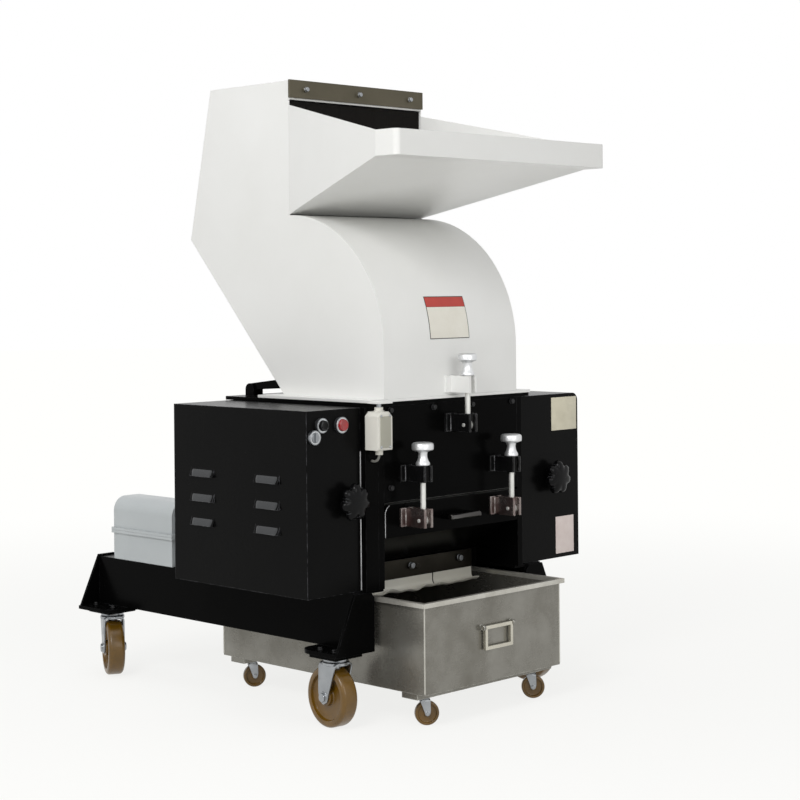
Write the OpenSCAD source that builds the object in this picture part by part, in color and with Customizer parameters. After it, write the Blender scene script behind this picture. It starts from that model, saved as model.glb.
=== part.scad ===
// Plastic granulator on castors: a tilting hopper with a feed tray stands over a belt driven
// rotor, a screen cradle drops open below it, and a wheeled bin catches the granules.
// Millimetres, +Z up from the floor, -Y towards the front, +X to the right seen from the front.
// Lengths to the front and to the rear start from one upright datum plane across the machine.

/* [Main frame] */
// Half the width of the frame over its two rails
frame_half = 292; // [286:1:300]
// Width of each rail
rail_w = 53; // [44:1:56]
// Height of each rail
rail_h = 110; // [90:1:130]
// Wall thickness of the rails and cross members
rail_wall = 4; // [3:0.5:6]
// Front of the frame, ahead of the datum plane
frame_front = 261; // [259:1:262]
// Rear of the frame, behind the datum plane
frame_rear = 612; // [600:1:700]
// Thickness of the end plates
end_plate_t = 6; // [4:1:8]
// Half the width over the castor plates
foot_half = 348; // [348:1:360]
// Length of each castor plate along its rail
foot_len = 107; // [100:1:130]
// Thickness of the castor plates
foot_t = 8; // [6:1:12]
// Thickness of the bed plate on the rails
bed_t = 6; // [4:1:8]
// Rear edge of the bed plate, behind the datum plane
bed_rear = 250; // [240:1:260]
// Half the width of the bed plate's window over the bin
window_half = 206; // [202:1:208]

/* [Castors] */
// Diameter of the large wheels
wheel_d = 125; // [100:1:135]
// Width of the large wheels
wheel_w = 38; // [30:1:42]
// Distance from the swivel axis to the wheel's axle
castor_trail = 12; // [8:1:14]
// Distance of the front swivel axes from the middle
front_swivel_x = 308; // [306:1:310]
// Front swivel axes, ahead of the datum plane
front_swivel_y = 218; // [212:1:220]
// Distance of the rear swivel axes from the middle
rear_swivel_x = 294; // [290:1:306]
// Rear swivel axes, behind the datum plane
rear_swivel_y = 555; // [545:1:565]
// Angle that the front castors are turned to
front_castor_turn = -5.4; // [-90:0.1:90]
// Angle that the rear castors are turned to
rear_castor_turn = 152.1; // [90:0.1:270]

/* [Chamber and deck] */
// Height from the bed plate to the deck's underside
cabinet_h = 375; // [370:1:400]
// Half the width inside the chamber
chamber_half = 209; // [209:1:212]
// Thickness of the chamber's side plates
side_t = 16; // [12:1:16]
// Thickness of the chamber's front and rear wall
wall_t = 15; // [12:1:16]
// Front of the chamber, ahead of the datum plane
chamber_front = 262; // [262:1:262.5]
// Rear edge of the side plates, behind the datum plane
cabinet_rear = 165; // [160:1:168]
// Height of the chamber walls' lower edges above the bed plate
wall_lift = 176; // [174:1:178]
// Thickness of the deck
deck_t = 8; // [6:1:12]
// Half the width of the deck
deck_half = 250; // [245:1:255]
// Rear edge of the deck, behind the datum plane
deck_rear = 190; // [180:1:200]
// Half the width of the throat through the deck
throat_half = 200; // [190:1:203]

/* [Rotor and drive] */
// Rotor axis, ahead of the datum plane
rotor_y = 137; // [136:0.5:138]
// Height of the rotor axis above the bed plate
rotor_lift = 191; // [190:0.5:192]
// Radius of the knife circle
knife_r = 105; // [102:0.5:105]
// Radius of the rotor shaft
shaft_r = 25; // [20:0.5:28]
// Gap between the knife circle and a bed knife
knife_gap = 0.5; // [0.3:0.1:1]
// Motor axis, behind the datum plane
motor_y = 112; // [110:1:114]
// Height of the motor axis above the bed plate
motor_lift = 112; // [110:1:116]
// Radius of the motor's body
motor_r = 95; // [85:1:96]
// Pitch radius of the rotor's pulley
rotor_pitch_r = 92; // [80:1:92]
// Pitch radius of the motor's pulley
motor_pitch_r = 42; // [36:1:46]
// Width of each V-belt
belt_w = 12; // [10:0.5:13]
// Thickness of each V-belt
belt_t = 8; // [6:0.5:8]
// Distance between neighbouring belts
belt_pitch = 17; // [16:0.5:18]
// Radius of the flywheel
flywheel_r = 100; // [90:1:101]
// Width of the flywheel's rim
flywheel_w = 50; // [40:1:52]

/* [Side doors] */
// Outer face of the belt guard, left of the middle
belt_door_x = 413; // [405:1:425]
// Outer face of the flywheel guard, right of the middle
fly_door_x = 433; // [425:1:445]
// Front of the belt guard, ahead of the datum plane
belt_door_front = 250; // [250:0.5:252]
// Front of the flywheel guard, ahead of the datum plane
fly_door_front = 253; // [253:0.5:255]
// Rear of both guards, behind the datum plane
door_rear = 168; // [167:0.5:169]
// Sheet thickness of the guards and the bearing box
sheet = 3; // [2:0.5:3]
// Running gap between a guard and what it closes on
door_gap = 1; // [0.8:0.1:1.2]
// Width of the bearing box between side plate and belt guard
bearing_box_w = 37; // [36:1:38]
// Radius of the star knobs over their lobes
star_r = 38.5; // [34:0.5:42]
// Height of the star knobs above the bed plate
star_lift = 187; // [180:1:190]
// Distance of the left star knob from the middle
left_star_x = 301; // [299:1:302]
// Distance of the right star knob from the middle
right_star_x = 335; // [334:1:337]
// Length of each louvre
louvre_len = 74; // [60:1:80]
// Height of each louvre
louvre_h = 18; // [14:1:22]
// Depth that the louvres are pressed out
louvre_out = 6; // [4:0.5:8]

/* [Switches] */
// Radius of the start button
start_r = 10.5; // [9:0.5:11]
// Radius of the stop button
stop_r = 12; // [10:0.5:12.5]
// Radius of the selector
selector_r = 10; // [8:0.5:10.5]
// Travel of the start and stop buttons
button_travel = 4; // [3:0.5:5]
// Width of the limit switch
limit_w = 42; // [36:1:43]
// Depth of the limit switch
limit_d = 38; // [34:1:38]
// Height of the limit switch
limit_h = 78; // [70:1:80]

/* [Hopper] */
// Half the width over the hopper's sides
hopper_half = 207; // [205:1:210]
// Sheet thickness of the hopper and the feed tray
hopper_sheet = 3; // [2:0.5:4]
// Plane of the neck's mouth, behind the datum plane
neck_y = 22; // [22:0.5:23]
// Radius of the bend in the front sheet
bend_r = 285; // [284:0.5:285.5]
// Height of the upright skirt from the deck to the bend
skirt_h = 110; // [100:1:130]
// Height of the neck above the bend
neck_h = 292; // [280:1:310]
// Depth of the hopper's roof from the neck's mouth
roof_d = 263; // [255:1:275]
// Rearmost point of the hopper, behind the datum plane
knee_y = 359; // [345:1:370]
// Height of the rearmost point above the deck
knee_h = 350; // [340:1:360]
// Foot of the rear slope, behind the datum plane
slope_foot_y = 39; // [36:1:42]
// Thickness of the hopper's flange
flange_t = 6; // [5:0.5:8]
// Half the width of the hopper's flange
flange_half = 252; // [250:1:258]
// Hinge axis of the hopper, behind the datum plane
tilt_y = 153.5; // [150:0.5:157]
// Height of the hinge axis above the deck
tilt_lift = 14; // [14:0.5:15]
// Radius of the hopper's hinge pins
tilt_pin_r = 6; // [5:0.5:7]

/* [Feed tray] */
// Distance from the neck to the tray's lip band
tray_reach = 387; // [370:1:400]
// Depth of the straight lip band
lip_len = 58; // [50:1:65]
// Half the width of the tray at its lip
lip_half = 327; // [310:1:340]
// Height of the lip band
lip_h = 52; // [45:1:60]
// Height that the tray's floor rises to the lip
tray_rise = 98; // [90:1:110]
// Height of the tray's sides at the neck
tray_side_h = 237; // [225:1:245]
// Radius of the lip band's front corners
lip_r = 12; // [6:1:20]
// Height of the clamp bar over the neck's mouth
bar_h = 39; // [35:1:41]
// Thickness of the clamp bar
bar_t = 5; // [4:0.5:6]
// Thickness of the rubber curtain
curtain_t = 4; // [3:0.5:5]

/* [Clamps] */
// Distance of the two lower clamps from the middle
clamp_x = 139; // [130:1:145]
// Radius of the swing rods
rod_r = 6; // [5:0.5:6]
// Distance from a bracket's root to its rod
rod_reach = 44; // [42:1:46]
// Length of a clamp bracket
bracket_len = 60; // [56:1:64]
// Thickness of a bracket's arms
bracket_arm = 6; // [5:0.5:8]
// Gap between a bracket's arms
bracket_gap = 13; // [13:0.5:14]
// Radius of the lower clamp knobs
clamp_knob_r = 23; // [20:0.5:24]
// Radius of the hopper clamp's knob
top_knob_r = 20.5; // [18:0.5:22]
// Height of a clamp knob
clamp_knob_h = 48; // [42:1:52]

/* [Cradle] */
// Half the width of the cradle
cradle_half = 207; // [204:1:208]
// Height of the cradle's front plate
cradle_h = 68; // [60:1:70]
// Thickness of the cradle's front plate
cradle_t = 12; // [10:1:12]
// Pivot axis of the cradle, behind the datum plane
pivot_y = 2; // [0:0.5:3]
// Height of the pivot axis above the bed plate
pivot_lift = 156; // [154:0.5:158]
// Radius of the cradle's pivot pins
pivot_r = 8; // [6:0.5:8]
// Running room between the knife circle and the screen
screen_gap = 4; // [4:0.5:5]
// Thickness of the screen
screen_t = 5; // [4:0.5:5]
// Radius of the screen's holes
screen_hole_r = 6; // [3:0.5:7]
// Half the width of the discharge strip
strip_half = 176; // [165:1:178]
// Height of the discharge strip
strip_h = 39; // [34:1:42]
// Half the width of the cradle's pull handle
pull_half = 41; // [35:1:50]

/* [Bin] */
// Width of the bin's body
bin_w = 424; // [410:1:426]
// Depth of the bin's body
bin_d = 625; // [600:1:627]
// Height of the bin's body up to its rim
bin_h = 178; // [165:1:180]
// Front of the bin, ahead of the datum plane
bin_front = 380; // [375:1:385]
// Distance that the bin's middle lies to the left
bin_shift = 4; // [0:1:5]
// Sheet thickness of the bin
bin_sheet = 2; // [1.5:0.5:3]
// Height of the bin's folded rim
rim_h = 8; // [6:1:8]
// Width of the rim outside the walls
rim_out = 8; // [6:1:9]
// Diameter of the bin's wheels
bin_wheel_d = 50; // [45:1:52]
// Distance of the bin's castors from its edges
bin_castor_inset = 45; // [42:1:60]
// Width of the bin's handle
handle_w = 86; // [70:1:100]
// Height of the bin's handle
handle_h = 50; // [40:1:60]

/* [Starter box] */
// Width of the starter box
starter_w = 102; // [95:1:110]
// Length of the starter box
starter_len = 216; // [200:1:220]
// Height of the starter box
starter_h = 144; // [130:1:160]
// Front of the starter box, behind the datum plane
starter_y = 332; // [332:1:345]
// Radius of the lid's upper corners
lid_r = 32; // [20:1:40]
// Radius of the mains cable's gland bore
gland_r = 7.5; // [5:0.5:9]

/* [Hidden] */
$fn = 64;
overrun = 1;
running = 0.05;
seat_gap = 0.3;

cabinet_black = "#1E1E1F";
hopper_white = "#E6E6E4";
bare_steel = "#8C8C8A";
bright_steel = "#B4B6B8";
amber = "#6B4A1C";
light_grey = "#B9BDBE";
rubber_black = "#161616";

// castor sizes
crown_gap = 4;
crown_t = 6;
race_h = 9;
race_r = 28;
seat_t = 6;
seat_half = 38;
kingpin_r = 8;
axle_r = 6;
axle_head_r = 10;
axle_head_t = 5;
leg_t = 4;
leg_round_r = 14;
hub_over = 1;
hub_r = 17;
tread_t = 13;
tread_round = 7;
web_recess = 9;
castor_h = wheel_d + crown_gap + crown_t + race_h + seat_t;
castor_top = castor_h + foot_t;

// levels of the frame and the cabinet
rail_z = castor_top;
rail_in = frame_half - rail_w;
rail_top = rail_z + rail_h;
bed_top = rail_top + bed_t;
deck_z = bed_top + cabinet_h;
deck_top = deck_z + deck_t;
plate_rise = 4;
plate_side_lap = 1;
plate_chamfer_w = 9;
plate_chamfer_h = 7;
foot_round = 32;
cross_y = 290;
cross_w = 50;
cross_h = 80;
window_rear = 10;

// chamber and cradle levels
side_out = chamber_half + side_t;
wall_z = bed_top + wall_lift;
rotor_z = bed_top + rotor_lift;
wall_in = chamber_front - wall_t;
rear_wall_y = 2 * rotor_y - wall_in;
rear_bend_lift = 83;
slant_t = 18;
shaft_hole_room = 6;
shaft_hole_r = shaft_r + shaft_hole_room;
motor_z = bed_top + motor_lift;
pivot_z = bed_top + pivot_lift;
pivot_boss_r = 15;
screen_r = knife_r + screen_gap;
screen_out = screen_r + screen_t;

// bed knives
bed_knife_lift = 41;
bed_knife_h = 24;
bed_knife_end = 1;
bed_knife_half = chamber_half - bed_knife_end;
bed_knife_tip = sqrt(pow(knife_r + knife_gap, 2) - pow(bed_knife_lift, 2));

// bearings, latches and hinges
housing_r = 60;
housing_t = 12;
boss_r = 42;
boss_t = 13;
bearing_box_x = side_out + bearing_box_w;
left_hinge_x = bearing_box_x + door_gap;
right_hinge_x = side_out + door_gap;
hinge_back = 8;
hinge_y = door_rear + hinge_back;
hinge_pin_r = 4;
knuckle_r = 7;
knuckle_h = 25;
leaf_w = 25;
hinge_lifts = [56, 296];
stud_r = 5;
stud_slot_r = 5.5;
stud_over = 1.5;
latch_t = 4;
latch_over = 8;
latch_half_h = 20;
left_latch_set = 8;
left_latch_y = belt_door_front - left_latch_set;
right_latch_set = 23;
right_latch_y = fly_door_front - right_latch_set;
latch_arm_lift = 302;
latch_arm_z = bed_top + latch_arm_lift;
latch_arm_h = 24;
latch_leg_w = 24;
star_z = bed_top + star_lift;
belt_door_in = bearing_box_x + 2 * door_gap;
door_z = bed_top + door_gap;
fly_door_top = deck_z - door_gap;
fly_corner_r = 18;
louvre_ys = [-132, 73];
louvre_lifts = [234, 182, 131];

// rotor and drive
rotor_half = 200;
core_r = 46;
arm_half = 15;
arm_r = 88;
knife_seat_r = 66;
knife_t = 12;
knife_count = 3;
belt_x = 304;
belts = [-1, 0, 1];
groove_room = 0.4;
groove_depth = 2;
rim_over = 3.5;
pulley_side = 5;
pulley_half = belt_pitch + belt_w / 2 + pulley_side;
pulley_hub_r = 40;
pulley_web_half = 10;
pulley_rim_t = 14;
shaft_end = 6;
fly_x = 262;
fly_rim_t = 26;
fly_web_half = 9;
fly_hub_r = 44;
motor_shaft_r = 14;
motor_front = 150;
motor_rear = 170;
fan_r = 90;
fan_len = 30;
motor_end_t = 20;
motor_core_r = 46;
motor_bore_r = 50;
core_room = 20;
foot_w = 40;
motor_foot_half = 75;
motor_foot_h = 34;
terminal_half = 40;
terminal_h = 38;
rotor_c = [-rotor_y, rotor_z];
motor_c = [motor_y, motor_z];
belt_span = norm(motor_c - rotor_c);
belt_lean = atan2(motor_c[1] - rotor_c[1], motor_c[0] - rotor_c[0]);
belt_wrap = acos((rotor_pitch_r - motor_pitch_r) / belt_span);

// star knobs
lobe_r = 9.5;
lobes = 7;
star_hub_r = 14;
star_hub_t = 14;
star_t = 22;

// switches
bezel_flange = 4.5;
bezel_t = 8;
nut_t = 4;
barrel_t = 2;
start_x = 375;
start_lift = 345;
stop_x = 321;
stop_lift = 343;
selector_x = 395.5;
selector_lift = 322;
start_pos = [-start_x, bed_top + start_lift];
stop_pos = [-stop_x, bed_top + stop_lift];
selector_pos = [-selector_x, bed_top + selector_lift];
start_out = 16;
stop_out = 14;
selector_out = 13;
lever_half = 2.5;
lever_out = 7;
lever_end = 9;
button_tail = 8;

// limit switch
limit_x = bearing_box_x;
limit_drop = 86;
limit_z = deck_z - limit_drop;
limit_chamfer = 8;
stem_r = 9;
stem_h = 9;
plunger_r = 5;
plunger_depth = 18;
plunger_over = 12;
gland_nut_r = 8;
gland_nut_h = 10;
lead_r = 3.5;
lead_bend = 14;
lead_tail = 4;
lead_hole_r = 5.5;
tab_half_w = 24;
tab_t = 4;
tab_front = 32;

// hopper levels
hopper_front = bend_r - neck_y;
flange_z = deck_top + seat_gap;
flange_top = flange_z + flange_t;
flange_over = 2;
flange_front = hopper_front + flange_over;
flange_rear = 80;
bend_z = deck_top + skirt_h;
neck_z = bend_z + bend_r;
hopper_top = neck_z + neck_h;
slope_foot = [slope_foot_y, deck_top];
knee = [knee_y, deck_top + knee_h];
roof_rear = [neck_y + roof_d, hopper_top];
tilt_z = deck_top + tilt_lift;
tilt_eye_room = 0.5;
tilt_eye_r = tilt_lift - tilt_eye_room;
tilt_arm_w = 17;
tilt_lug_t = 5;
arm_top_lift = 37;
arm_low_lift = 19;
neck_lip_h = 41;

// tray and curtain
tray_lift = 2;
tray_z = neck_z + tray_lift;
lip_z = tray_z + tray_rise;
lip_rear = neck_y - tray_reach;
bar_over = 2;
bar_side_over = 1;
bar_bolt_xs = [-162, 0, 162];
bar_bolt_r = 6;
bar_bolt_t = 3;
curtain_room = 8;

// clamps
bracket_half = bracket_gap / 2 + bracket_arm;
bracket_tab = 13;
bracket_root = 6;
rod_y = chamber_front + rod_reach;
upper_bracket_lift = 217;
upper_bracket_z = bed_top + upper_bracket_lift;
upper_bracket_h = 34;
low_bracket_lift = 123;
low_bracket_z = bed_top + low_bracket_lift;
low_bracket_h = 39;
hopper_bracket_lift = 12;
hopper_bracket_z = deck_top + hopper_bracket_lift;
hopper_bracket_h = 36;
deck_bracket_drop = 71;
deck_bracket_z = deck_top - deck_bracket_drop;
deck_bracket_h = 39;
eye_r = 10;
eye_room = 0.3;
clamp_pin_r = 4;
clamp_eye_lift = 15;
clamp_pin_over = 2;
knob_base_r = 14.75;
knob_waist_r = 11;
knob_base_h = 12;
knob_head_h = 24;
knob_bevel = 3;

// cradle
cradle_lift = 103;
cradle_z = bed_top + cradle_lift;
cradle_top = cradle_z + cradle_h;
cradle_in = chamber_front - cradle_t;
cradle_round = 20;
cheek_t = 8;
cheek_out = 205;
cheek_ring_r = 132;
cheek_room = 0.3;
screen_edge_drop = 17;
screen_rows = 7;
screen_row_turn = 20;
screen_columns = 12;
screen_column_pitch = 26;
screen_end_room = 1;
screen_half = cradle_half - screen_end_room;
chute_sheet = 3;
chute_half = 195;
chute_flange_h = 13;
mouth_front = 149;
mouth_top_lift = 32.5;
mouth_top = bed_top + mouth_top_lift;
mouth_drop = 1;
mouth_z = rail_top - mouth_drop;
mouth_rear = 90;
mouth_rear_lift = 6;
mouth_rear_z = bed_top + mouth_rear_lift;
chute_rear_y = 15;
chute_rear_lift = 111;
chute_rear_z = bed_top + chute_rear_lift;
chute_cheek_lift = 126;
chute_cheek_z = bed_top + chute_cheek_lift;
chute_cheek_in = 10;
strip_t = 4;
strip_bolt_xs = [-145, 0, 145];
strip_bolt_r = 6;
strip_bolt_t = 3;
flap_t = 2;
flap_r = 14;
flap_curl = 150;
flap_gap = 3;
flap_split_x = 50;
pull_r = 6;
pull_reach = 33;
pull_lift = 31;
cradle_bolt_x = -145;
cradle_bolt_r = 6;
cradle_bolt_t = 4;

// bin
small = bin_wheel_d / wheel_d;
bin_pad_t = 12;
bin_pad_half = 22;
bin_z = castor_h * small + bin_pad_t;
bin_left = -bin_shift - bin_w / 2;
bin_right = -bin_shift + bin_w / 2;
bin_rear = bin_d - bin_front;
bin_rim_z = bin_z + bin_h;
bin_castor_xs = [bin_left + bin_castor_inset, bin_right - bin_castor_inset];
bin_castor_ys = [-bin_front + bin_castor_inset, bin_rear - bin_castor_inset];
bin_castor_turns = [[-125, -135], [-120, -140]];
handle_t = 7;
handle_gap = 3;
handle_lift = 68;
handle_z = bin_z + handle_lift;
handle_pin_r = 2.5;
handle_ear_t = 6;
handle_ear_r = 6;
handle_axis_z = handle_z + handle_h - handle_t / 2;
handle_axis_y = bin_front + handle_gap + handle_t / 2;

// starter box
starter_wall = 3;
band_h = 13;
band_out = 4;
band_lift = 67;
starter_x = frame_half;
shelf_over = 6;
shelf_t = 6;
gland_out = 14;
gland_body_r = 13;
gland_lift = 32;
gland_z = rail_top + gland_lift;

// middle of the whole part, seen from above
mid_x = (fly_door_x - belt_door_x - louvre_out) / 2;
mid_y = (frame_rear - (tray_reach + lip_len - neck_y)) / 2;

// Puts the part's origin under the middle of the whole machine
module in_place() {
    translate([-mid_x, -mid_y, 0]) children();
}

// A straight sided block between two corners
module box(low, high) {
    translate(low) cube(high - low);
}

// An outline in (y, z) drawn out along X
module along_x(from, to) {
    translate([from, 0, 0]) rotate([90, 0, 90]) linear_extrude(to - from) children();
}

// An outline in (x, z) drawn out along Y
module along_y(from, to) {
    translate([0, to, 0]) rotate([90, 0, 0]) linear_extrude(to - from) children();
}

// An outline in (x, y) drawn out along Z
module along_z(from, to) {
    translate([0, 0, from]) linear_extrude(to - from) children();
}

// Round bars along the three axes
module bar_x(y, z, r, from, to) {
    translate([from, y, z]) rotate([0, 90, 0]) cylinder(r = r, h = to - from);
}

module bar_y(x, z, r, from, to) {
    translate([x, to, z]) rotate([90, 0, 0]) cylinder(r = r, h = to - from);
}

module bar_z(x, y, r, from, to) {
    translate([x, y, from]) cylinder(r = r, h = to - from);
}

module both_sides() {
    children();
    mirror([1, 0, 0]) children();
}

function toward(angle) = [cos(angle), sin(angle)];
function unit(v) = v / norm(v);
function left_of(v) = [-v[1], v[0]];

// Corner b of an outline that runs a, b, c, moved inwards by a sheet thickness t
function inset_corner(a, b, c, t) =
    let (n1 = left_of(unit(b - a)), n2 = left_of(unit(c - b)))
    b + t * (n1 + n2) / (1 + n1 * n2);

// Castor pieces, drawn with the swivel axis on the Z axis
module castor_seat() {
    box([-seat_half, -seat_half, castor_h - seat_t], [seat_half, seat_half, castor_h]);
}

module castor_pin_hole() {
    bar_z(0, 0, kingpin_r + running, castor_h - seat_t - overrun, castor_top + overrun);
}

module castor_fork() {
    crown_z = wheel_d + crown_gap;
    leg_in = wheel_w / 2 + hub_over + seat_gap;
    bar_z(0, 0, race_r, crown_z, castor_h - seat_t - seat_gap);
    bar_z(0, 0, kingpin_r, crown_z, castor_top - seat_gap);
    box([-leg_in - leg_t, -race_r, crown_z], [leg_in + leg_t, race_r, crown_z + crown_t]);
    both_sides() along_x(leg_in, leg_in + leg_t) {
        translate([castor_trail, wheel_d / 2]) circle(r = leg_round_r);
        polygon([
            [-race_r, crown_z + crown_t],
            [castor_trail - leg_round_r, wheel_d / 2],
            [castor_trail + leg_round_r, wheel_d / 2],
            [race_r, crown_z + crown_t]
        ]);
    }
    head = leg_in + leg_t + axle_head_t;
    bar_x(castor_trail, wheel_d / 2, axle_r, -head, head);
    both_sides() bar_x(castor_trail, wheel_d / 2, axle_head_r, leg_in + leg_t - overrun, head);
}

module castor_wheel() {
    half = wheel_w / 2;
    rim_r = wheel_d / 2;
    hub_half = half + hub_over;
    translate([0, castor_trail, rim_r]) rotate([0, 90, 0]) rotate_extrude() {
        polygon([
            [axle_r + running, -hub_half],
            [hub_r, -hub_half],
            [hub_r, -half + web_recess],
            [rim_r - tread_t, -half + web_recess],
            [rim_r - tread_t, -half],
            [rim_r - tread_round, -half],
            [rim_r, -half + tread_round],
            [rim_r, half - tread_round],
            [rim_r - tread_round, half],
            [rim_r - tread_t, half],
            [rim_r - tread_t, half - web_recess],
            [hub_r, half - web_recess],
            [hub_r, hub_half],
            [axle_r + running, hub_half]
        ]);
        translate([rim_r - tread_round, half - tread_round]) circle(r = tread_round);
        translate([rim_r - tread_round, tread_round - half]) circle(r = tread_round);
    }
}

module at_front_castor() {
    translate([-front_swivel_x, -front_swivel_y, 0]) rotate([0, 0, front_castor_turn]) children();
}

module at_rear_castor() {
    translate([-rear_swivel_x, rear_swivel_y, 0]) rotate([0, 0, rear_castor_turn]) children();
}

module at_bin_castor(side, end) {
    translate([bin_castor_xs[side], bin_castor_ys[end], 0])
        rotate([0, 0, bin_castor_turns[end][side]])
        scale(small) children();
}

// Clamp bracket in plan: two arms with a rod between them, and a root tab on the left
module clamp_bracket(z, h) {
    root = -chamber_front;
    both_sides() box(
        [bracket_gap / 2, root - bracket_len, z],
        [bracket_half, root, z + h]);
    box([-bracket_half - bracket_tab, root - bracket_root, z], [bracket_half, root, z + h]);
}

module bracket_pin_hole(z) {
    bar_x(-rod_y, z, clamp_pin_r + running, -bracket_half - overrun, bracket_half + overrun);
}

// Eye bolt: an eye on its pin, and the rod up to the knob
module clamp_rod(eye_z, top) {
    bar_x(-rod_y, eye_z, eye_r, eye_room - bracket_gap / 2, bracket_gap / 2 - eye_room);
    bar_x(-rod_y, eye_z, clamp_pin_r, -bracket_half - clamp_pin_over, bracket_half + clamp_pin_over);
    bar_z(0, -rod_y, rod_r, eye_z, top);
}

// Turned knob: a base, a waist and a bevelled head
module clamp_knob(z, head_r) {
    head_z = clamp_knob_h - knob_head_h;
    translate([0, -rod_y, z + seat_gap]) rotate_extrude() polygon([
        [0, 0],
        [knob_base_r, 0],
        [knob_base_r, knob_base_h - knob_bevel],
        [knob_waist_r, knob_base_h],
        [knob_waist_r, head_z],
        [head_r - knob_bevel, head_z],
        [head_r, head_z + knob_bevel],
        [head_r, clamp_knob_h - knob_bevel],
        [head_r - knob_bevel, clamp_knob_h],
        [0, clamp_knob_h]
    ]);
}

// Lobed knob in front of a door, with its stud through the door
module star_knob(x, front, stud_end) {
    translate([x, 0, star_z]) {
        bar_y(0, 0, star_hub_r, -front - star_hub_t, -front - seat_gap);
        bar_y(0, 0, stud_r, -front - star_hub_t, stud_end);
        along_y(-front - star_hub_t - star_t, -front - star_hub_t) {
            circle(r = star_r - lobe_r);
            for (i = [0:lobes - 1]) {
                translate((star_r - lobe_r) * toward(90 + i * 360 / lobes)) circle(r = lobe_r);
            }
        }
    }
}

// Fixed halves of a door's two hinges, with the leaves on the inner side
module fixed_hinges(x, rear) {
    for (lift = hinge_lifts) {
        z = bed_top + lift;
        bar_z(x, hinge_y, knuckle_r, z - knuckle_h, z - seat_gap);
        bar_z(x, hinge_y, hinge_pin_r, z - knuckle_h, z + knuckle_h);
        box([x, rear, z - knuckle_h], [x + leaf_w, hinge_y - knuckle_r + overrun, z - seat_gap]);
    }
}

// Door halves of the hinges, with the leaves on the outer side
module door_hinges(x) {
    for (lift = hinge_lifts) {
        z = bed_top + lift;
        difference() {
            union() {
                bar_z(x, hinge_y, knuckle_r, z + seat_gap, z + knuckle_h);
                box([x - leaf_w, door_rear - overrun, z + seat_gap],
                    [x, hinge_y - knuckle_r + overrun, z + knuckle_h]);
            }
            bar_z(x, hinge_y, hinge_pin_r + running, z, z + knuckle_h + overrun);
        }
    }
}

// Outline around both pulleys at the belt's pitch line, grown by a thickness
module belt_loop(grow) {
    rotor_side = rotor_pitch_r + grow;
    motor_side = motor_pitch_r + grow;
    translate(rotor_c) circle(r = rotor_side);
    translate(motor_c) circle(r = motor_side);
    polygon([
        rotor_c + rotor_side * toward(belt_lean + belt_wrap),
        motor_c + motor_side * toward(belt_lean + belt_wrap),
        motor_c + motor_side * toward(belt_lean - belt_wrap),
        rotor_c + rotor_side * toward(belt_lean - belt_wrap)
    ]);
}

// Grooved pulley about the X axis, centred on the belts
module grooved_pulley(pitch_r, bore_r) {
    rim = pitch_r + rim_over;
    floor_r = pitch_r - belt_t / 2 - groove_depth;
    difference() {
        rotate([0, 90, 0]) cylinder(r = rim, h = 2 * pulley_half, center = true);
        for (i = belts) {
            groove_half = belt_w / 2 + groove_room;
            translate([i * belt_pitch, 0, 0]) rotate([0, 90, 0]) difference() {
                cylinder(r = rim + overrun, h = 2 * groove_half, center = true);
                cylinder(r = floor_r, h = 2 * groove_half + overrun, center = true);
            }
        }
        bar_x(0, 0, bore_r, -pulley_half - overrun, pulley_half + overrun);
    }
}

// Side view of the hopper in (y, z); t moves its walls inwards and opens its foot
module hopper_side(t) {
    drop = t > 0 ? overrun : 0;
    slope_shift = t * norm(knee - slope_foot) / (knee[1] - slope_foot[1]);
    slope_run = (knee[0] - slope_foot[0]) / (knee[1] - slope_foot[1]);
    foot_z = flange_z - drop;
    roof_front = [neck_y, hopper_top];
    inner_neck = neck_y + t;
    polygon([
        [t - hopper_front, foot_z],
        [slope_foot[0] - slope_shift + (foot_z - slope_foot[1]) * slope_run, foot_z],
        inset_corner(slope_foot, knee, roof_rear, t),
        inset_corner(knee, roof_rear, roof_front, t),
        [inner_neck, hopper_top - t],
        [inner_neck, bend_z],
        [t - hopper_front, bend_z]
    ]);
    intersection() {
        translate([neck_y, bend_z]) circle(r = bend_r - t, $fn = 4 * $fn);
        translate([-hopper_front, bend_z]) square([bend_r + t, bend_r]);
    }
}

function slope_y(z) = slope_foot[0]
    + (z - slope_foot[1]) * (knee[0] - slope_foot[0]) / (knee[1] - slope_foot[1]);

// Plan of the tray's lip band with rounded front corners, moved in by t
module lip_plan(t) {
    half = lip_half - t;
    front = lip_rear - lip_len + t;
    rear = lip_rear;
    corner = lip_r - t;
    polygon([
        [-half, front + corner], [-half + corner, front], [half - corner, front],
        [half, front + corner], [half, rear], [-half, rear]
    ]);
    both_sides() translate([half - corner, front + corner]) circle(r = corner);
}

module frame_end() {
    along_y(0, end_plate_t) polygon([
        [rail_in, castor_h],
        [foot_half, castor_h],
        [frame_half + plate_side_lap, rail_top + plate_rise],
        [rail_in + plate_chamfer_w, rail_top + plate_rise],
        [rail_in, rail_top - plate_chamfer_h]
    ]);
    along_z(castor_h, castor_top) {
        polygon([
            [rail_in, 0],
            [foot_half, 0],
            [foot_half, end_plate_t + foot_len - foot_round],
            [foot_half - foot_round, end_plate_t + foot_len],
            [rail_in, end_plate_t + foot_len]
        ]);
        translate([foot_half - foot_round, end_plate_t + foot_len - foot_round])
            circle(r = foot_round);
    }
}

module box_tube(low, high, hollow) {
    difference() {
        box(low, high);
        box(low + hollow, high - hollow);
    }
}

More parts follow.
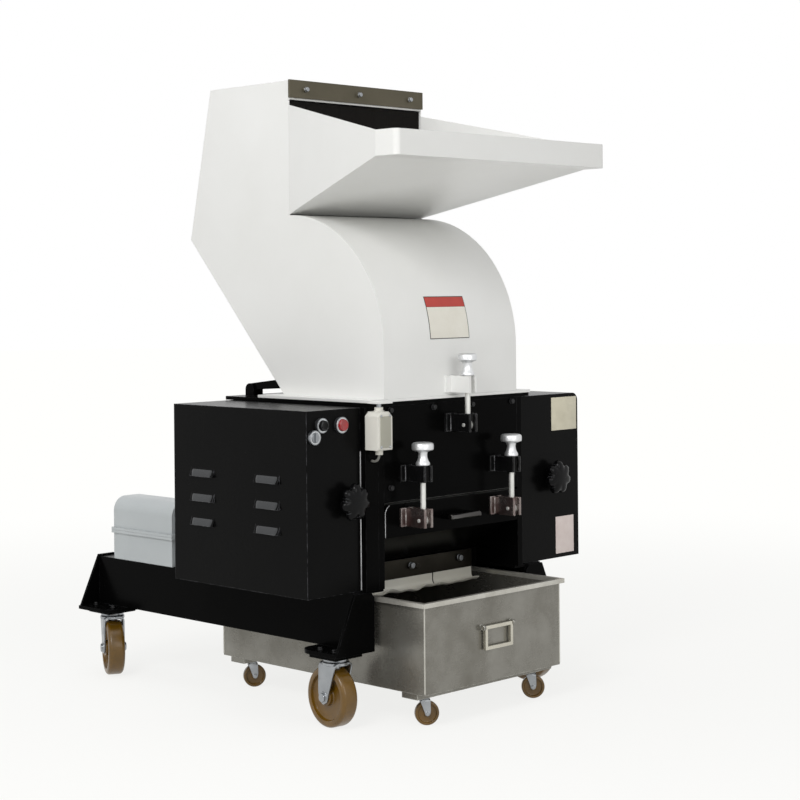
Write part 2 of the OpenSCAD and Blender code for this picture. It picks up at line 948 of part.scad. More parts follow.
module base_frame() color(cabinet_black) in_place() {
    y0 = end_plate_t - frame_front;
    y1 = frame_rear - end_plate_t;
    difference() {
        union() {
            both_sides() {
                box_tube([rail_in, y0, rail_z], [frame_half, y1, rail_top],
                    [rail_wall, -overrun, rail_wall]);
                translate([0, -frame_front, 0]) frame_end();
                translate([0, frame_rear, 0]) mirror([0, 1, 0]) frame_end();
                translate([front_swivel_x, -front_swivel_y, 0]) castor_seat();
                translate([rear_swivel_x, rear_swivel_y, 0]) castor_seat();
            }
            for (y = [cross_y, y1 - cross_w]) {
                box_tube([-rail_in, y, rail_top - cross_h], [rail_in, y + cross_w, rail_top],
                    [-overrun, rail_wall, rail_wall]);
            }
            difference() {
                box([-frame_half, y0, rail_top], [frame_half, bed_rear, bed_top]);
                box([-window_half, y0 - overrun, rail_top - overrun],
                    [window_half, window_rear, bed_top + overrun]);
            }
            box([-rail_in, starter_y - shelf_over, rail_top - shelf_t],
                [starter_w - starter_x + shelf_over, starter_y + starter_len + shelf_over, rail_top]);
        }
        both_sides() {
            at_front_castor() castor_pin_hole();
            at_rear_castor() castor_pin_hole();
        }
    }
}

module chamber_sides() color(cabinet_black) in_place() {
    both_sides() {
        difference() {
            box([chamber_half, -chamber_front, bed_top], [side_out, cabinet_rear, deck_z]);
            bar_x(-rotor_y, rotor_z, shaft_hole_r, chamber_half - overrun, side_out + overrun);
            bar_x(motor_y, motor_z, shaft_hole_r, chamber_half - overrun, side_out + overrun);
        }
        bar_x(pivot_y, pivot_z, pivot_r, cheek_out - cheek_t, chamber_half + overrun);
    }
    mirror([1, 0, 0]) translate([-2 * right_hinge_x, 0, 0]) fixed_hinges(right_hinge_x, cabinet_rear);
    leg_x = right_star_x + latch_over + stud_over;
    difference() {
        along_y(-right_latch_y, latch_t - right_latch_y) polygon([
            [side_out - overrun, latch_arm_z],
            [leg_x - latch_leg_w, latch_arm_z],
            [leg_x - latch_leg_w, star_z - latch_half_h],
            [leg_x, star_z - latch_half_h],
            [leg_x, latch_arm_z + latch_arm_h],
            [side_out - overrun, latch_arm_z + latch_arm_h]
        ]);
        latch_slot(right_star_x, right_latch_y, 1);
    }
}

// Slot for a star knob's stud, open on the side that the door swings to
module latch_slot(x, y, side) {
    bar_y(x, star_z, stud_slot_r, -y - overrun, latch_t - y + overrun);
    reach = latch_over + stud_over + overrun;
    box([min(x, x + side * reach), -y - overrun, star_z - stud_slot_r],
        [max(x, x + side * reach), latch_t - y + overrun, star_z + stud_slot_r]);
}

module chamber_walls() color(cabinet_black) in_place() {
    bend = bed_top + rear_bend_lift + wall_lift;
    box([-chamber_half, -chamber_front, wall_z], [chamber_half, -wall_in, deck_z]);
    along_x(-chamber_half, chamber_half) polygon([
        [-rear_wall_y, wall_z],
        [wall_t - rear_wall_y, wall_z],
        [wall_t - rear_wall_y, bend],
        [slope_foot_y + slant_t, deck_z],
        [slope_foot_y, deck_z],
        [-rear_wall_y, bend]
    ]);
    for (x = [-clamp_x, clamp_x]) {
        translate([x, 0, 0]) clamp_bracket(upper_bracket_z, upper_bracket_h);
    }
    difference() {
        clamp_bracket(deck_bracket_z, deck_bracket_h);
        bracket_pin_hole(deck_bracket_z + clamp_eye_lift);
    }
}

module top_plate() color(cabinet_black) in_place() {
    difference() {
        box([-deck_half, -chamber_front, deck_z], [deck_half, deck_rear, deck_top]);
        box([-throat_half, -wall_in, deck_z - overrun], [throat_half, slope_foot_y, deck_top + overrun]);
    }
    both_sides() {
        for (x = [hopper_half - tilt_arm_w - seat_gap - tilt_lug_t, hopper_half + seat_gap]) {
            along_x(x, x + tilt_lug_t) {
                translate([tilt_y, tilt_z]) circle(r = tilt_eye_r);
                translate([tilt_y - tilt_eye_r, deck_top - overrun])
                    square([2 * tilt_eye_r, tilt_lift + overrun]);
            }
        }
        bar_x(tilt_y, tilt_z, tilt_pin_r, hopper_half - tilt_arm_w - tilt_lug_t,
            hopper_half + tilt_lug_t);
    }
}

module fixed_knives() color(bright_steel) in_place() {
    z = rotor_z + bed_knife_lift;
    half = bed_knife_half;
    box([-half, -wall_in, z], [half, -rotor_y - bed_knife_tip, z + bed_knife_h]);
    box([-half, bed_knife_tip - rotor_y, z], [half, -rear_wall_y, z + bed_knife_h]);
}

module bearing_housings() color(bare_steel) in_place() {
    both_sides() difference() {
        union() {
            bar_x(-rotor_y, rotor_z, housing_r, side_out, side_out + housing_t);
            bar_x(-rotor_y, rotor_z, boss_r, side_out, side_out + housing_t + boss_t);
        }
        bar_x(-rotor_y, rotor_z, shaft_r + running, side_out - overrun,
            side_out + housing_t + boss_t + overrun);
    }
}

module bearing_box() color(cabinet_black) in_place() {
    inner = bearing_box_x - sheet;
    difference() {
        union() {
            difference() {
                box([-bearing_box_x, -chamber_front, bed_top], [-side_out, cabinet_rear, deck_z]);
                box([-inner, sheet - chamber_front, bed_top + sheet],
                    [overrun - side_out, cabinet_rear - sheet, deck_z - sheet]);
            }
            box([-left_star_x - latch_over, -left_latch_y, star_z - latch_half_h],
                [-inner, latch_t - left_latch_y, star_z + latch_half_h]);
        }
        latch_slot(-left_star_x, left_latch_y, -1);
        bar_x(-rotor_y, rotor_z, shaft_hole_r, -bearing_box_x - overrun, overrun - inner);
        bar_x(motor_y, motor_z, shaft_hole_r, -bearing_box_x - overrun, overrun - inner);
        bar_y(limit_w / 2 - limit_x, limit_z - gland_nut_h - lead_bend, lead_hole_r,
            -chamber_front - overrun, sheet - chamber_front + overrun);
    }
    fixed_hinges(-left_hinge_x, cabinet_rear);
}

module motor_body() color(bare_steel) in_place() {
    difference() {
        union() {
            bar_x(motor_y, motor_z, motor_r, -motor_front, motor_rear);
            bar_x(motor_y, motor_z, fan_r, motor_rear - overrun, motor_rear + fan_len);
            for (x = [motor_end_t - motor_front, motor_rear - motor_end_t - foot_w]) {
                box([x, motor_y - motor_foot_half, bed_top],
                    [x + foot_w, motor_y + motor_foot_half, bed_top + motor_foot_h]);
            }
            box([-terminal_half, motor_y - terminal_half, motor_z],
                [terminal_half, motor_y + terminal_half, motor_z + motor_r + terminal_h]);
        }
        bar_x(motor_y, motor_z, motor_bore_r, motor_end_t - motor_front, motor_rear - motor_end_t);
        bar_x(motor_y, motor_z, motor_shaft_r + running, -motor_front - overrun, motor_rear);
    }
}

module drive_belts() color(rubber_black) in_place() {
    for (i = belts) {
        x = i * belt_pitch - belt_x;
        along_x(x - belt_w / 2, x + belt_w / 2) difference() {
            belt_loop(belt_t / 2);
            belt_loop(-belt_t / 2);
        }
    }
}

module top_clamp_rod() color(bright_steel) in_place() {
    clamp_rod(deck_bracket_z + clamp_eye_lift, hopper_bracket_z + hopper_bracket_h);
}

module limit_switch() color("#D8D6CC") in_place() {
    x0 = -limit_x;
    x1 = limit_w - limit_x;
    mid = (x0 + x1) / 2;
    y0 = -chamber_front - limit_d;
    stem_y = -chamber_front - limit_d / 2;
    difference() {
        union() {
            along_z(limit_z, limit_z + limit_h) polygon([
                [x0, -chamber_front],
                [x0, y0 + limit_chamfer],
                [x0 + limit_chamfer, y0],
                [x1 - limit_chamfer, y0],
                [x1, y0 + limit_chamfer],
                [x1, -chamber_front]
            ]);
            bar_z(mid, stem_y, stem_r, limit_z + limit_h - overrun, limit_z + limit_h + stem_h);
        }
        bar_z(mid, stem_y, plunger_r + running, limit_z + limit_h - plunger_depth,
            limit_z + limit_h + stem_h + overrun);
    }
    bar_z(mid, stem_y, gland_nut_r, limit_z - gland_nut_h, limit_z + overrun);
    bend_y = stem_y + lead_bend;
    bend_low = limit_z - gland_nut_h;
    translate([mid, bend_y, bend_low]) rotate([0, 0, 180]) rotate([90, 0, 90])
        rotate([180, 0, 0]) rotate_extrude(angle = 90) translate([lead_bend, 0]) circle(r = lead_r);
    bar_y(mid, bend_low - lead_bend, lead_r, bend_y, sheet + lead_tail - chamber_front);
}

module starter_outline(t) {
    left = t - starter_x;
    right = starter_w - starter_x - t;
    top = rail_top + starter_h - t;
    r = lid_r - t;
    polygon([
        [left, rail_top + t], [right, rail_top + t], [right, top - r],
        [right - r, top], [left + r, top], [left, top - r]
    ]);
    translate([left + r, top - r]) circle(r = r);
    translate([right - r, top - r]) circle(r = r);
}

module starter_box() {
    split = rail_top + band_lift;
    rear = starter_y + starter_len;
    difference() {
        union() {
            along_y(starter_y, rear) starter_outline(0);
            box([-starter_x - band_out, starter_y - band_out, split - band_h / 2],
                [starter_w - starter_x + band_out, rear + band_out, split + band_h / 2]);
            bar_y(starter_w / 2 - starter_x, gland_z, gland_body_r, rear - overrun, rear + gland_out);
        }
        along_y(starter_y + starter_wall, rear - starter_wall) starter_outline(starter_wall);
        bar_y(starter_w / 2 - starter_x, gland_z, gland_r, rear - starter_wall - overrun,
            rear + gland_out + overrun);
    }
}

module starter_box_base() color(light_grey) in_place() {
    intersection() {
        starter_box();
        box([-foot_half, 0, 0], [0, frame_rear, rail_top + band_lift]);
    }
}

module starter_box_lid() color(light_grey) in_place() {
    intersection() {
        starter_box();
        box([-foot_half, 0, rail_top + band_lift], [0, frame_rear, rail_top + 2 * starter_h]);
    }
}

module hopper_shell() color(hopper_white) in_place() {
    inner = hopper_half - hopper_sheet;
    mid = limit_w / 2 - limit_x;
    difference() {
        union() {
            along_x(-hopper_half, hopper_half) hopper_side(0);
            box([-flange_half, -flange_front, flange_z], [flange_half, flange_rear, flange_top]);
        }
        along_x(-inner, inner) hopper_side(hopper_sheet);
        box([-inner, neck_y - overrun, neck_z],
            [inner, neck_y + 2 * hopper_sheet, hopper_top - neck_lip_h]);
    }
    box([mid - tab_half_w / 2 - tab_t, -flange_front - tab_front, flange_z],
        [mid + tab_half_w, overrun - flange_front, flange_z + tab_t]);
    translate([0, chamber_front - hopper_front, 0])
        clamp_bracket(hopper_bracket_z, hopper_bracket_h);
}

// Plan of the whole tray from its lip to the neck, moved in by t
module tray_plan(t) {
    lip_plan(t);
    polygon([
        [t - lip_half, lip_rear], [lip_half - t, lip_rear],
        [hopper_half - t, neck_y], [hopper_half - t, neck_y + hopper_sheet],
        [t - hopper_half, neck_y + hopper_sheet], [t - hopper_half, neck_y]
    ]);
}

module feed_tray() color(hopper_white) in_place() {
    lip_front = lip_rear - lip_len;
    intersection() {
        along_x(-lip_half, lip_half) polygon([
            [lip_front, lip_z],
            [lip_rear, lip_z],
            [neck_y, tray_z],
            [neck_y, tray_z + hopper_sheet],
            [lip_rear, lip_z + hopper_sheet],
            [lip_front, lip_z + hopper_sheet]
        ]);
        along_z(tray_z, lip_z + lip_h) tray_plan(0);
    }
    intersection() {
        along_x(-lip_half, lip_half) polygon([
            [lip_front, lip_z],
            [lip_rear, lip_z],
            [neck_y, tray_z],
            [neck_y, tray_z + tray_side_h],
            [lip_rear, lip_z + lip_h],
            [lip_front, lip_z + lip_h]
        ]);
        along_z(tray_z, tray_z + tray_side_h) difference() {
            tray_plan(0);
            tray_plan(hopper_sheet);
        }
    }
}

module curtain_bar() color("#4A453B") in_place() {
    z = hopper_top + bar_over - bar_h;
    half = hopper_half + bar_side_over;
    box([-half, neck_y - bar_t, z], [half, neck_y, z + bar_h]);
    for (x = bar_bolt_xs) {
        bar_y(x, z + bar_h / 2, bar_bolt_r, neck_y - bar_t - bar_bolt_t, neck_y - bar_t + overrun);
    }
}

module hinge_arms() color(cabinet_black) in_place() {
    low = deck_top + arm_low_lift;
    high = deck_top + arm_top_lift;
    both_sides() along_x(hopper_half - tilt_arm_w, hopper_half) difference() {
        union() {
            translate([tilt_y, tilt_z]) circle(r = tilt_eye_r);
            polygon([
                [tilt_y, tilt_z + tilt_eye_r],
                [slope_y(high), high],
                [slope_y(low), low],
                [tilt_y - tilt_eye_r, tilt_z]
            ]);
        }
        translate([tilt_y, tilt_z]) circle(r = tilt_pin_r + running);
    }
}

module curtain() color(rubber_black) in_place() {
    y = neck_y + hopper_sheet + seat_gap;
    axis_z = hopper_top - neck_lip_h - seat_gap - curtain_t / 2;
    half = hopper_half - hopper_sheet - seat_gap;
    bar_x(y + curtain_t / 2, axis_z, curtain_t / 2, -half, half);
    box([-half, y, tray_z + curtain_room], [half, y + curtain_t, axis_z]);
}

module top_clamp_knob() color(bright_steel) in_place() {
    clamp_knob(hopper_bracket_z + hopper_bracket_h, top_knob_r);
}

// Side cheek of the cradle in (y, z): a ring under the screen, tied to plate and pivot
module cradle_cheek() {
    difference() {
        union() {
            intersection() {
                translate(rotor_c) circle(r = cheek_ring_r);
                translate([-cradle_in, bed_top]) square([cradle_in, cradle_top - bed_top]);
            }
            translate([pivot_y, pivot_z]) circle(r = pivot_boss_r);
            polygon([
                [pivot_y, pivot_z + pivot_boss_r],
                [pivot_y - 1.5 * pivot_boss_r, pivot_z + pivot_boss_r],
                [pivot_y - 3 * pivot_boss_r, pivot_z - 3 * pivot_boss_r],
                [pivot_y, pivot_z - pivot_boss_r]
            ]);
        }
        translate(rotor_c) circle(r = screen_out + cheek_room);
        translate([pivot_y, pivot_z]) circle(r = pivot_r + running);
    }
}

module cradle_frame() color(cabinet_black) in_place() {
    along_y(-chamber_front, -cradle_in) {
        polygon([
            [-cradle_half, cradle_z],
            [cradle_half, cradle_z],
            [cradle_half, cradle_top],
            [cradle_round - cradle_half, cradle_top],
            [-cradle_half, cradle_top - cradle_round]
        ]);
        translate([cradle_round - cradle_half, cradle_top - cradle_round]) circle(r = cradle_round);
    }
    both_sides() along_x(cheek_out - cheek_t, cheek_out) cradle_cheek();
    pull_y = -chamber_front - pull_reach;
    pull_z = cradle_z + pull_lift;
    bar_x(pull_y, pull_z, pull_r, -pull_half, pull_half);
    both_sides() bar_y(pull_half - pull_r, pull_z, pull_r, pull_y, overrun - chamber_front);
    for (x = [-clamp_x, clamp_x]) {
        translate([x, 0, 0]) difference() {
            clamp_bracket(low_bracket_z, low_bracket_h);
            bracket_pin_hole(low_bracket_z + clamp_eye_lift);
        }
    }
    bar_y(cradle_bolt_x, cradle_top - cradle_bolt_r, cradle_bolt_r, -chamber_front - cradle_bolt_t,
        overrun - chamber_front);
}

module screen() color(bare_steel) in_place() {
    difference() {
        along_x(-screen_half, screen_half) difference() {
            translate(rotor_c) circle(r = screen_out);
            translate(rotor_c) circle(r = screen_r);
            translate([-rotor_y - screen_out - overrun, rotor_z - screen_edge_drop])
                square([2 * (screen_out + overrun), 2 * screen_out]);
        }
        for (row = [0:screen_rows - 1], column = [0:screen_columns - 1]) {
            turn = (row - (screen_rows - 1) / 2) * screen_row_turn;
            x = (column - (screen_columns - 1) / 2) * screen_column_pitch;
            translate([x, -rotor_y, rotor_z]) rotate([turn, 0, 0])
                translate([0, 0, -screen_out - overrun])
                cylinder(r = screen_hole_r, h = screen_t + 2 * overrun);
        }
    }
}

module cradle_rods() color(bright_steel) in_place() {
    for (x = [-clamp_x, clamp_x]) {
        translate([x, 0, 0])
            clamp_rod(low_bracket_z + clamp_eye_lift, upper_bracket_z + upper_bracket_h);
    }
}

module discharge_chute() color(cabinet_black) in_place() {
    top = cradle_z + chute_flange_h;
    front_sheet = [
        [-cradle_in, top],
        [-cradle_in, cradle_z],
        [-mouth_front, mouth_top],
        [-mouth_front, mouth_z],
        [chute_sheet - mouth_front, mouth_z],
        [chute_sheet - mouth_front, mouth_top + chute_sheet / 2],
        [chute_sheet - cradle_in, cradle_z + chute_sheet / 2],
        [chute_sheet - cradle_in, top]
    ];
    along_x(-chute_half, chute_half) polygon(front_sheet);
    along_x(-strip_half, strip_half) polygon([
        [-chute_rear_y, chute_rear_z],
        [-mouth_rear, mouth_top],
        [-mouth_rear, mouth_rear_z],
        [-mouth_rear - chute_sheet, mouth_rear_z],
        [-mouth_rear - chute_sheet, mouth_top],
        [-chute_rear_y - chute_sheet, chute_rear_z + chute_sheet]
    ]);
    both_sides() along_x(strip_half, strip_half + chute_sheet) difference() {
        polygon([
            [-cradle_in, top],
            [-cradle_in, cradle_z],
            [-mouth_front, mouth_top],
            [-mouth_front, mouth_z],
            [-mouth_rear, mouth_rear_z],
            [-mouth_rear, mouth_top],
            [-chute_rear_y, chute_rear_z],
            [-chute_rear_y - chute_cheek_in, chute_cheek_z],
            [chute_sheet - cradle_in, chute_cheek_z]
        ]);
        translate(rotor_c) circle(r = screen_out + 2 * cheek_room);
    }
}

module discharge_strip() color(bare_steel) in_place() {
    box([-strip_half, -mouth_front - strip_t, mouth_z], [strip_half, -mouth_front, mouth_z + strip_h]);
    for (x = strip_bolt_xs) {
        bar_y(x, mouth_z + strip_h / 2, strip_bolt_r, -mouth_front - strip_t - strip_bolt_t,
            overrun - mouth_front - strip_t);
    }
}

// Flap in (y, z): hung under the strip and curled towards the front
module flap_side() {
    y = -mouth_front - strip_t / 2;
    curl_z = mouth_z - flap_r;
    translate([y, curl_z]) square([flap_t, flap_r]);
    intersection() {
        translate([y + flap_t - flap_r, curl_z]) difference() {
            circle(r = flap_r);
            circle(r = flap_r - flap_t);
        }
        translate([y + flap_t - flap_r, curl_z]) polygon([
            [0, 0],
            [2 * flap_r, 0],
            [2 * flap_r, -2 * flap_r],
            [-2 * flap_r, -2 * flap_r],
            2 * flap_r * toward(-flap_curl)
        ]);
    }
}

module apron_flaps() color("#C9C7B8") in_place() {
    along_x(-strip_half, flap_split_x - flap_gap / 2) flap_side();
    along_x(flap_split_x + flap_gap / 2, strip_half) flap_side();
}

module left_clamp_knob() color(bright_steel) in_place() {
    translate([-clamp_x, 0, 0]) clamp_knob(upper_bracket_z + upper_bracket_h, clamp_knob_r);
}

module right_clamp_knob() color(bright_steel) in_place() {
    translate([clamp_x, 0, 0]) clamp_knob(upper_bracket_z + upper_bracket_h, clamp_knob_r);
}

module switch_hole(pos, r, front) {
    bar_y(pos[0], pos[1], r + barrel_t + running, -front - overrun, sheet - front + overrun);
}

// Pressed louvre on the left face, open at its lower edge
module louvre(y, z) {
    along_y(y - louvre_len / 2, y + louvre_len / 2) polygon([
        [overrun - belt_door_x, z + louvre_h / 2],
        [-belt_door_x, z + louvre_h / 2],
        [-belt_door_x - louvre_out, z - louvre_h / 2],
        [overrun - belt_door_x, z - louvre_h / 2]
    ]);
}

module belt_guard() color(cabinet_black) in_place() {
    difference() {
        box([-belt_door_x, -belt_door_front, door_z], [-belt_door_in, door_rear, deck_z]);
        box([sheet - belt_door_x, sheet - belt_door_front, door_z + sheet],
            [overrun - belt_door_in, door_rear - sheet, deck_z - sheet]);
        bar_y(-left_star_x, star_z, stud_r + seat_gap, -belt_door_front - overrun,
            sheet - belt_door_front + overrun);
        switch_hole(start_pos, start_r, belt_door_front);
        switch_hole(stop_pos, stop_r, belt_door_front);
        switch_hole(selector_pos, selector_r, belt_door_front);
    }
    for (y = louvre_ys, lift = louvre_lifts) {
        louvre(y, bed_top + lift);
    }
    door_hinges(-left_hinge_x);
}

module left_star_knob() color(rubber_black) in_place() {
    star_knob(-left_star_x, belt_door_front, latch_t + stud_over - left_latch_y);
}

// Flanged bush of a push button, with its nut behind the sheet
module bezel(pos, r) {
    front = -belt_door_front;
    outer = r + barrel_t;
    difference() {
        union() {
            bar_y(pos[0], pos[1], r + bezel_flange, front - bezel_t, front);
            bar_y(pos[0], pos[1], outer, front - overrun, front + sheet + nut_t);
            bar_y(pos[0], pos[1], outer + barrel_t, front + sheet, front + sheet + nut_t);
        }
        bar_y(pos[0], pos[1], r + running, front - bezel_t - overrun, front + sheet + nut_t + overrun);
    }
}

module switch_bezels() color(bright_steel) in_place() {
    bezel(start_pos, start_r);
    bezel(stop_pos, stop_r);
    bezel(selector_pos, selector_r);
}

module push_button(pos, r, out) {
    tail = sheet + nut_t + button_tail - belt_door_front;
    bar_y(pos[0], pos[1], r, -belt_door_front - out, tail);
}

module selector() color(bright_steel) in_place() {
    front = -belt_door_front - selector_out + lever_out / 2;
    bar_y(selector_pos[0], selector_pos[1], selector_r, front, sheet + nut_t - belt_door_front);
    translate([selector_pos[0], 0, selector_pos[1]])
        box([-lever_half, -belt_door_front - selector_out, -lever_end],
            [lever_half, front + overrun, lever_end]);
}

module start_button() color("#141414") in_place() {
    push_button(start_pos, start_r, start_out);
}

module stop_button() color("#B02018") in_place() {
    push_button(stop_pos, stop_r, stop_out);
}

// Front view of the flywheel guard in (x, z), moved in by t
module fly_door_outline(t) {
    left = right_hinge_x;
    right = fly_door_x - t;
    low = door_z + t;
    top = fly_door_top - t;
    r = fly_corner_r - t;
    polygon([[left, low], [right, low], [right, top - r], [right - r, top], [left, top]]);
    translate([right - r, top - r]) circle(r = r);
}

module flywheel_guard() color(cabinet_black) in_place() {
    difference() {
        along_y(-fly_door_front, door_rear) fly_door_outline(0);
        along_y(sheet - fly_door_front, door_rear - sheet) fly_door_outline(sheet);
        box([right_hinge_x - overrun, sheet - fly_door_front, door_z + sheet],
            [right_hinge_x + overrun, door_rear - sheet, fly_door_top - sheet]);
        bar_y(right_star_x, star_z, stud_r + seat_gap, -fly_door_front - overrun,
            sheet - fly_door_front + overrun);
    }
    mirror([1, 0, 0]) door_hinges(-right_hinge_x);
}

module right_star_knob() color(rubber_black) in_place() {
    star_knob(right_star_x, fly_door_front, latch_t + stud_over - right_latch_y);
}

module rotor_shaft() color(bright_steel) in_place() {
    bar_x(-rotor_y, rotor_z, shaft_r, -belt_x - pulley_half - shaft_end, fly_x + flywheel_w + shaft_end);
}

// Seats of the knives around the core in (y, z)
module knife_arm(i) {
    rotate(i * 360 / knife_count) translate([-arm_half, 0]) square([arm_half, arm_r]);
}

module rotor_hub() color(bare_steel) in_place() {
    along_x(-rotor_half, rotor_half) translate(rotor_c) difference() {
        union() {
            circle(r = core_r);
            for (i = [0:knife_count - 1]) {
                knife_arm(i);
            }
        }
        circle(r = shaft_r + running);
    }
}

module rotor_knives() color(bright_steel) in_place() {
    along_x(-rotor_half, rotor_half) translate(rotor_c) for (i = [0:knife_count - 1]) {
        rotate(i * 360 / knife_count) intersection() {
            circle(r = knife_r);
            translate([0, knife_seat_r]) square([knife_t, knife_r]);
        }
    }
}

module flywheel() color(bare_steel) in_place() {
    rim_in = flywheel_r - fly_rim_t;
    half = flywheel_w / 2;
    translate([fly_x + half, -rotor_y, rotor_z]) rotate([0, 90, 0]) rotate_extrude() polygon([
        [shaft_r + running, -half],
        [fly_hub_r, -half],
        [fly_hub_r, -fly_web_half],
        [rim_in, -fly_web_half],
        [rim_in, -half],
        [flywheel_r, -half],
        [flywheel_r, half],
        [rim_in, half],
        [rim_in, fly_web_half],
        [fly_hub_r, fly_web_half],
        [fly_hub_r, half],
        [shaft_r + running, half]
    ]);
}

module rotor_pulley() color(bare_steel) in_place() {
    rim_in = rotor_pitch_r - pulley_rim_t - belt_t / 2;
    translate([-belt_x, -rotor_y, rotor_z]) difference() {
        grooved_pulley(rotor_pitch_r, shaft_r + running);
        both_sides() difference() {
            bar_x(0, 0, rim_in, pulley_web_half, pulley_half + overrun);
            bar_x(0, 0, pulley_hub_r, pulley_web_half - overrun, pulley_half + 2 * overrun);
        }
    }
}

module motor_rotor() color(bare_steel) in_place() {
    translate([-belt_x, motor_y, motor_z]) grooved_pulley(motor_pitch_r, motor_shaft_r - running);
    bar_x(motor_y, motor_z, motor_shaft_r, -belt_x - pulley_half - shaft_end, motor_rear - running);
    bar_x(motor_y, motor_z, motor_core_r, core_room + motor_end_t - motor_front,
        motor_rear - motor_end_t - core_room);
}

module limit_plunger() color(bright_steel) in_place() {
    mid = limit_w / 2 - limit_x;
    bar_z(mid, -chamber_front - limit_d / 2, plunger_r, limit_z + limit_h - plunger_over,
        deck_top);
}

module front_left_fork() color(light_grey) in_place() at_front_castor() castor_fork();

module front_left_wheel() color(amber) in_place() at_front_castor() castor_wheel();

module front_right_fork() color(light_grey) in_place() mirror([1, 0, 0]) at_front_castor() castor_fork();

module front_right_wheel() color(amber) in_place() mirror([1, 0, 0]) at_front_castor() castor_wheel();

module rear_left_fork() color(light_grey) in_place() at_rear_castor() castor_fork();

module rear_left_wheel() color(amber) in_place() at_rear_castor() castor_wheel();

module rear_right_fork() color(light_grey) in_place() mirror([1, 0, 0]) at_rear_castor() castor_fork();

module rear_right_wheel() color(amber) in_place() mirror([1, 0, 0]) at_rear_castor() castor_wheel();

module bin_body() color(bare_steel) in_place() {
    difference() {
        union() {
            box([bin_left, -bin_front, bin_z], [bin_right, bin_rear, bin_rim_z]);
            box([bin_left - rim_out, -bin_front - rim_out, bin_rim_z - overrun],
                [bin_right + rim_out, bin_rear + rim_out, bin_rim_z + rim_h]);
            for (y = bin_castor_ys) {
                box([bin_left + bin_sheet, y - bin_pad_half, bin_z - bin_pad_t],
                    [bin_right - bin_sheet, y + bin_pad_half, bin_z + bin_sheet]);
            }
            for (x = bin_castor_xs, y = bin_castor_ys) {
                translate([x, y, 0]) scale(small) castor_seat();
            }
        }
        box([bin_left + bin_sheet, bin_sheet - bin_front, bin_z + bin_sheet],
            [bin_right - bin_sheet, bin_rear - bin_sheet, bin_rim_z + rim_h + overrun]);
        for (x = bin_castor_xs, y = bin_castor_ys) {
            translate([x, y, 0]) scale(small) castor_pin_hole();
        }
    }
    both_sides() difference() {
        along_x(handle_w / 2 + seat_gap, handle_w / 2 + seat_gap + handle_ear_t) {
            translate([-handle_axis_y, handle_axis_z]) circle(r = handle_ear_r);
            translate([-handle_axis_y, handle_axis_z - handle_ear_r])
                square([handle_axis_y - bin_front, 2 * handle_ear_r]);
        }
        bar_x(-handle_axis_y, handle_axis_z, handle_pin_r + running, 0, handle_w);
    }
}

module bin_handle() color(light_grey) in_place() {
    front = -bin_front - handle_gap - handle_t;
    half = handle_w / 2;
    difference() {
        box([-half, front, handle_z], [half, front + handle_t, handle_z + handle_h]);
        box([handle_t - half, front - overrun, handle_z + handle_t],
            [half - handle_t, front + handle_t + overrun, handle_z + handle_h - handle_t]);
    }
    pin_end = half + handle_ear_t;
    both_sides() bar_x(-handle_axis_y, handle_axis_z, handle_pin_r, half - overrun, pin_end);
}

module bin_fork(side, end) color(light_grey) in_place() at_bin_castor(side, end) castor_fork();

module bin_wheel(side, end) color(amber) in_place() at_bin_castor(side, end) castor_wheel();

module bin_front_left_fork() bin_fork(0, 0);

module bin_front_left_wheel() bin_wheel(0, 0);

module bin_front_right_fork() bin_fork(1, 0);

module bin_front_right_wheel() bin_wheel(1, 0);

module bin_rear_left_fork() bin_fork(0, 1);

module bin_rear_left_wheel() bin_wheel(0, 1);

module bin_rear_right_fork() bin_fork(1, 1);

module bin_rear_right_wheel() bin_wheel(1, 1);

base_frame();
chamber_sides();
chamber_walls();
top_plate();
fixed_knives();
bearing_housings();
bearing_box();
motor_body();
drive_belts();
top_clamp_rod();
limit_switch();
starter_box_base();
starter_box_lid();
hopper_shell();
feed_tray();
curtain_bar();
hinge_arms();
curtain();
top_clamp_knob();
cradle_frame();
screen();
cradle_rods();
discharge_chute();
discharge_strip();
apron_flaps();
left_clamp_knob();
right_clamp_knob();
belt_guard();
left_star_knob();
switch_bezels();
selector();
start_button();
stop_button();
flywheel_guard();
right_star_knob();
rotor_shaft();
rotor_hub();
rotor_knives();
flywheel();
rotor_pulley();
motor_rotor();
limit_plunger();
front_left_fork();
front_left_wheel();
front_right_fork();
front_right_wheel();
rear_left_fork();
rear_left_wheel();
rear_right_fork();
rear_right_wheel();
bin_body();
bin_handle();
bin_front_left_fork();
bin_front_left_wheel();
bin_front_right_fork();
bin_front_right_wheel();
bin_rear_left_fork();
bin_rear_left_wheel();
bin_rear_right_fork();
bin_rear_right_wheel();
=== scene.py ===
import math
import bmesh
import bpy
import numpy as np
from mathutils import Matrix


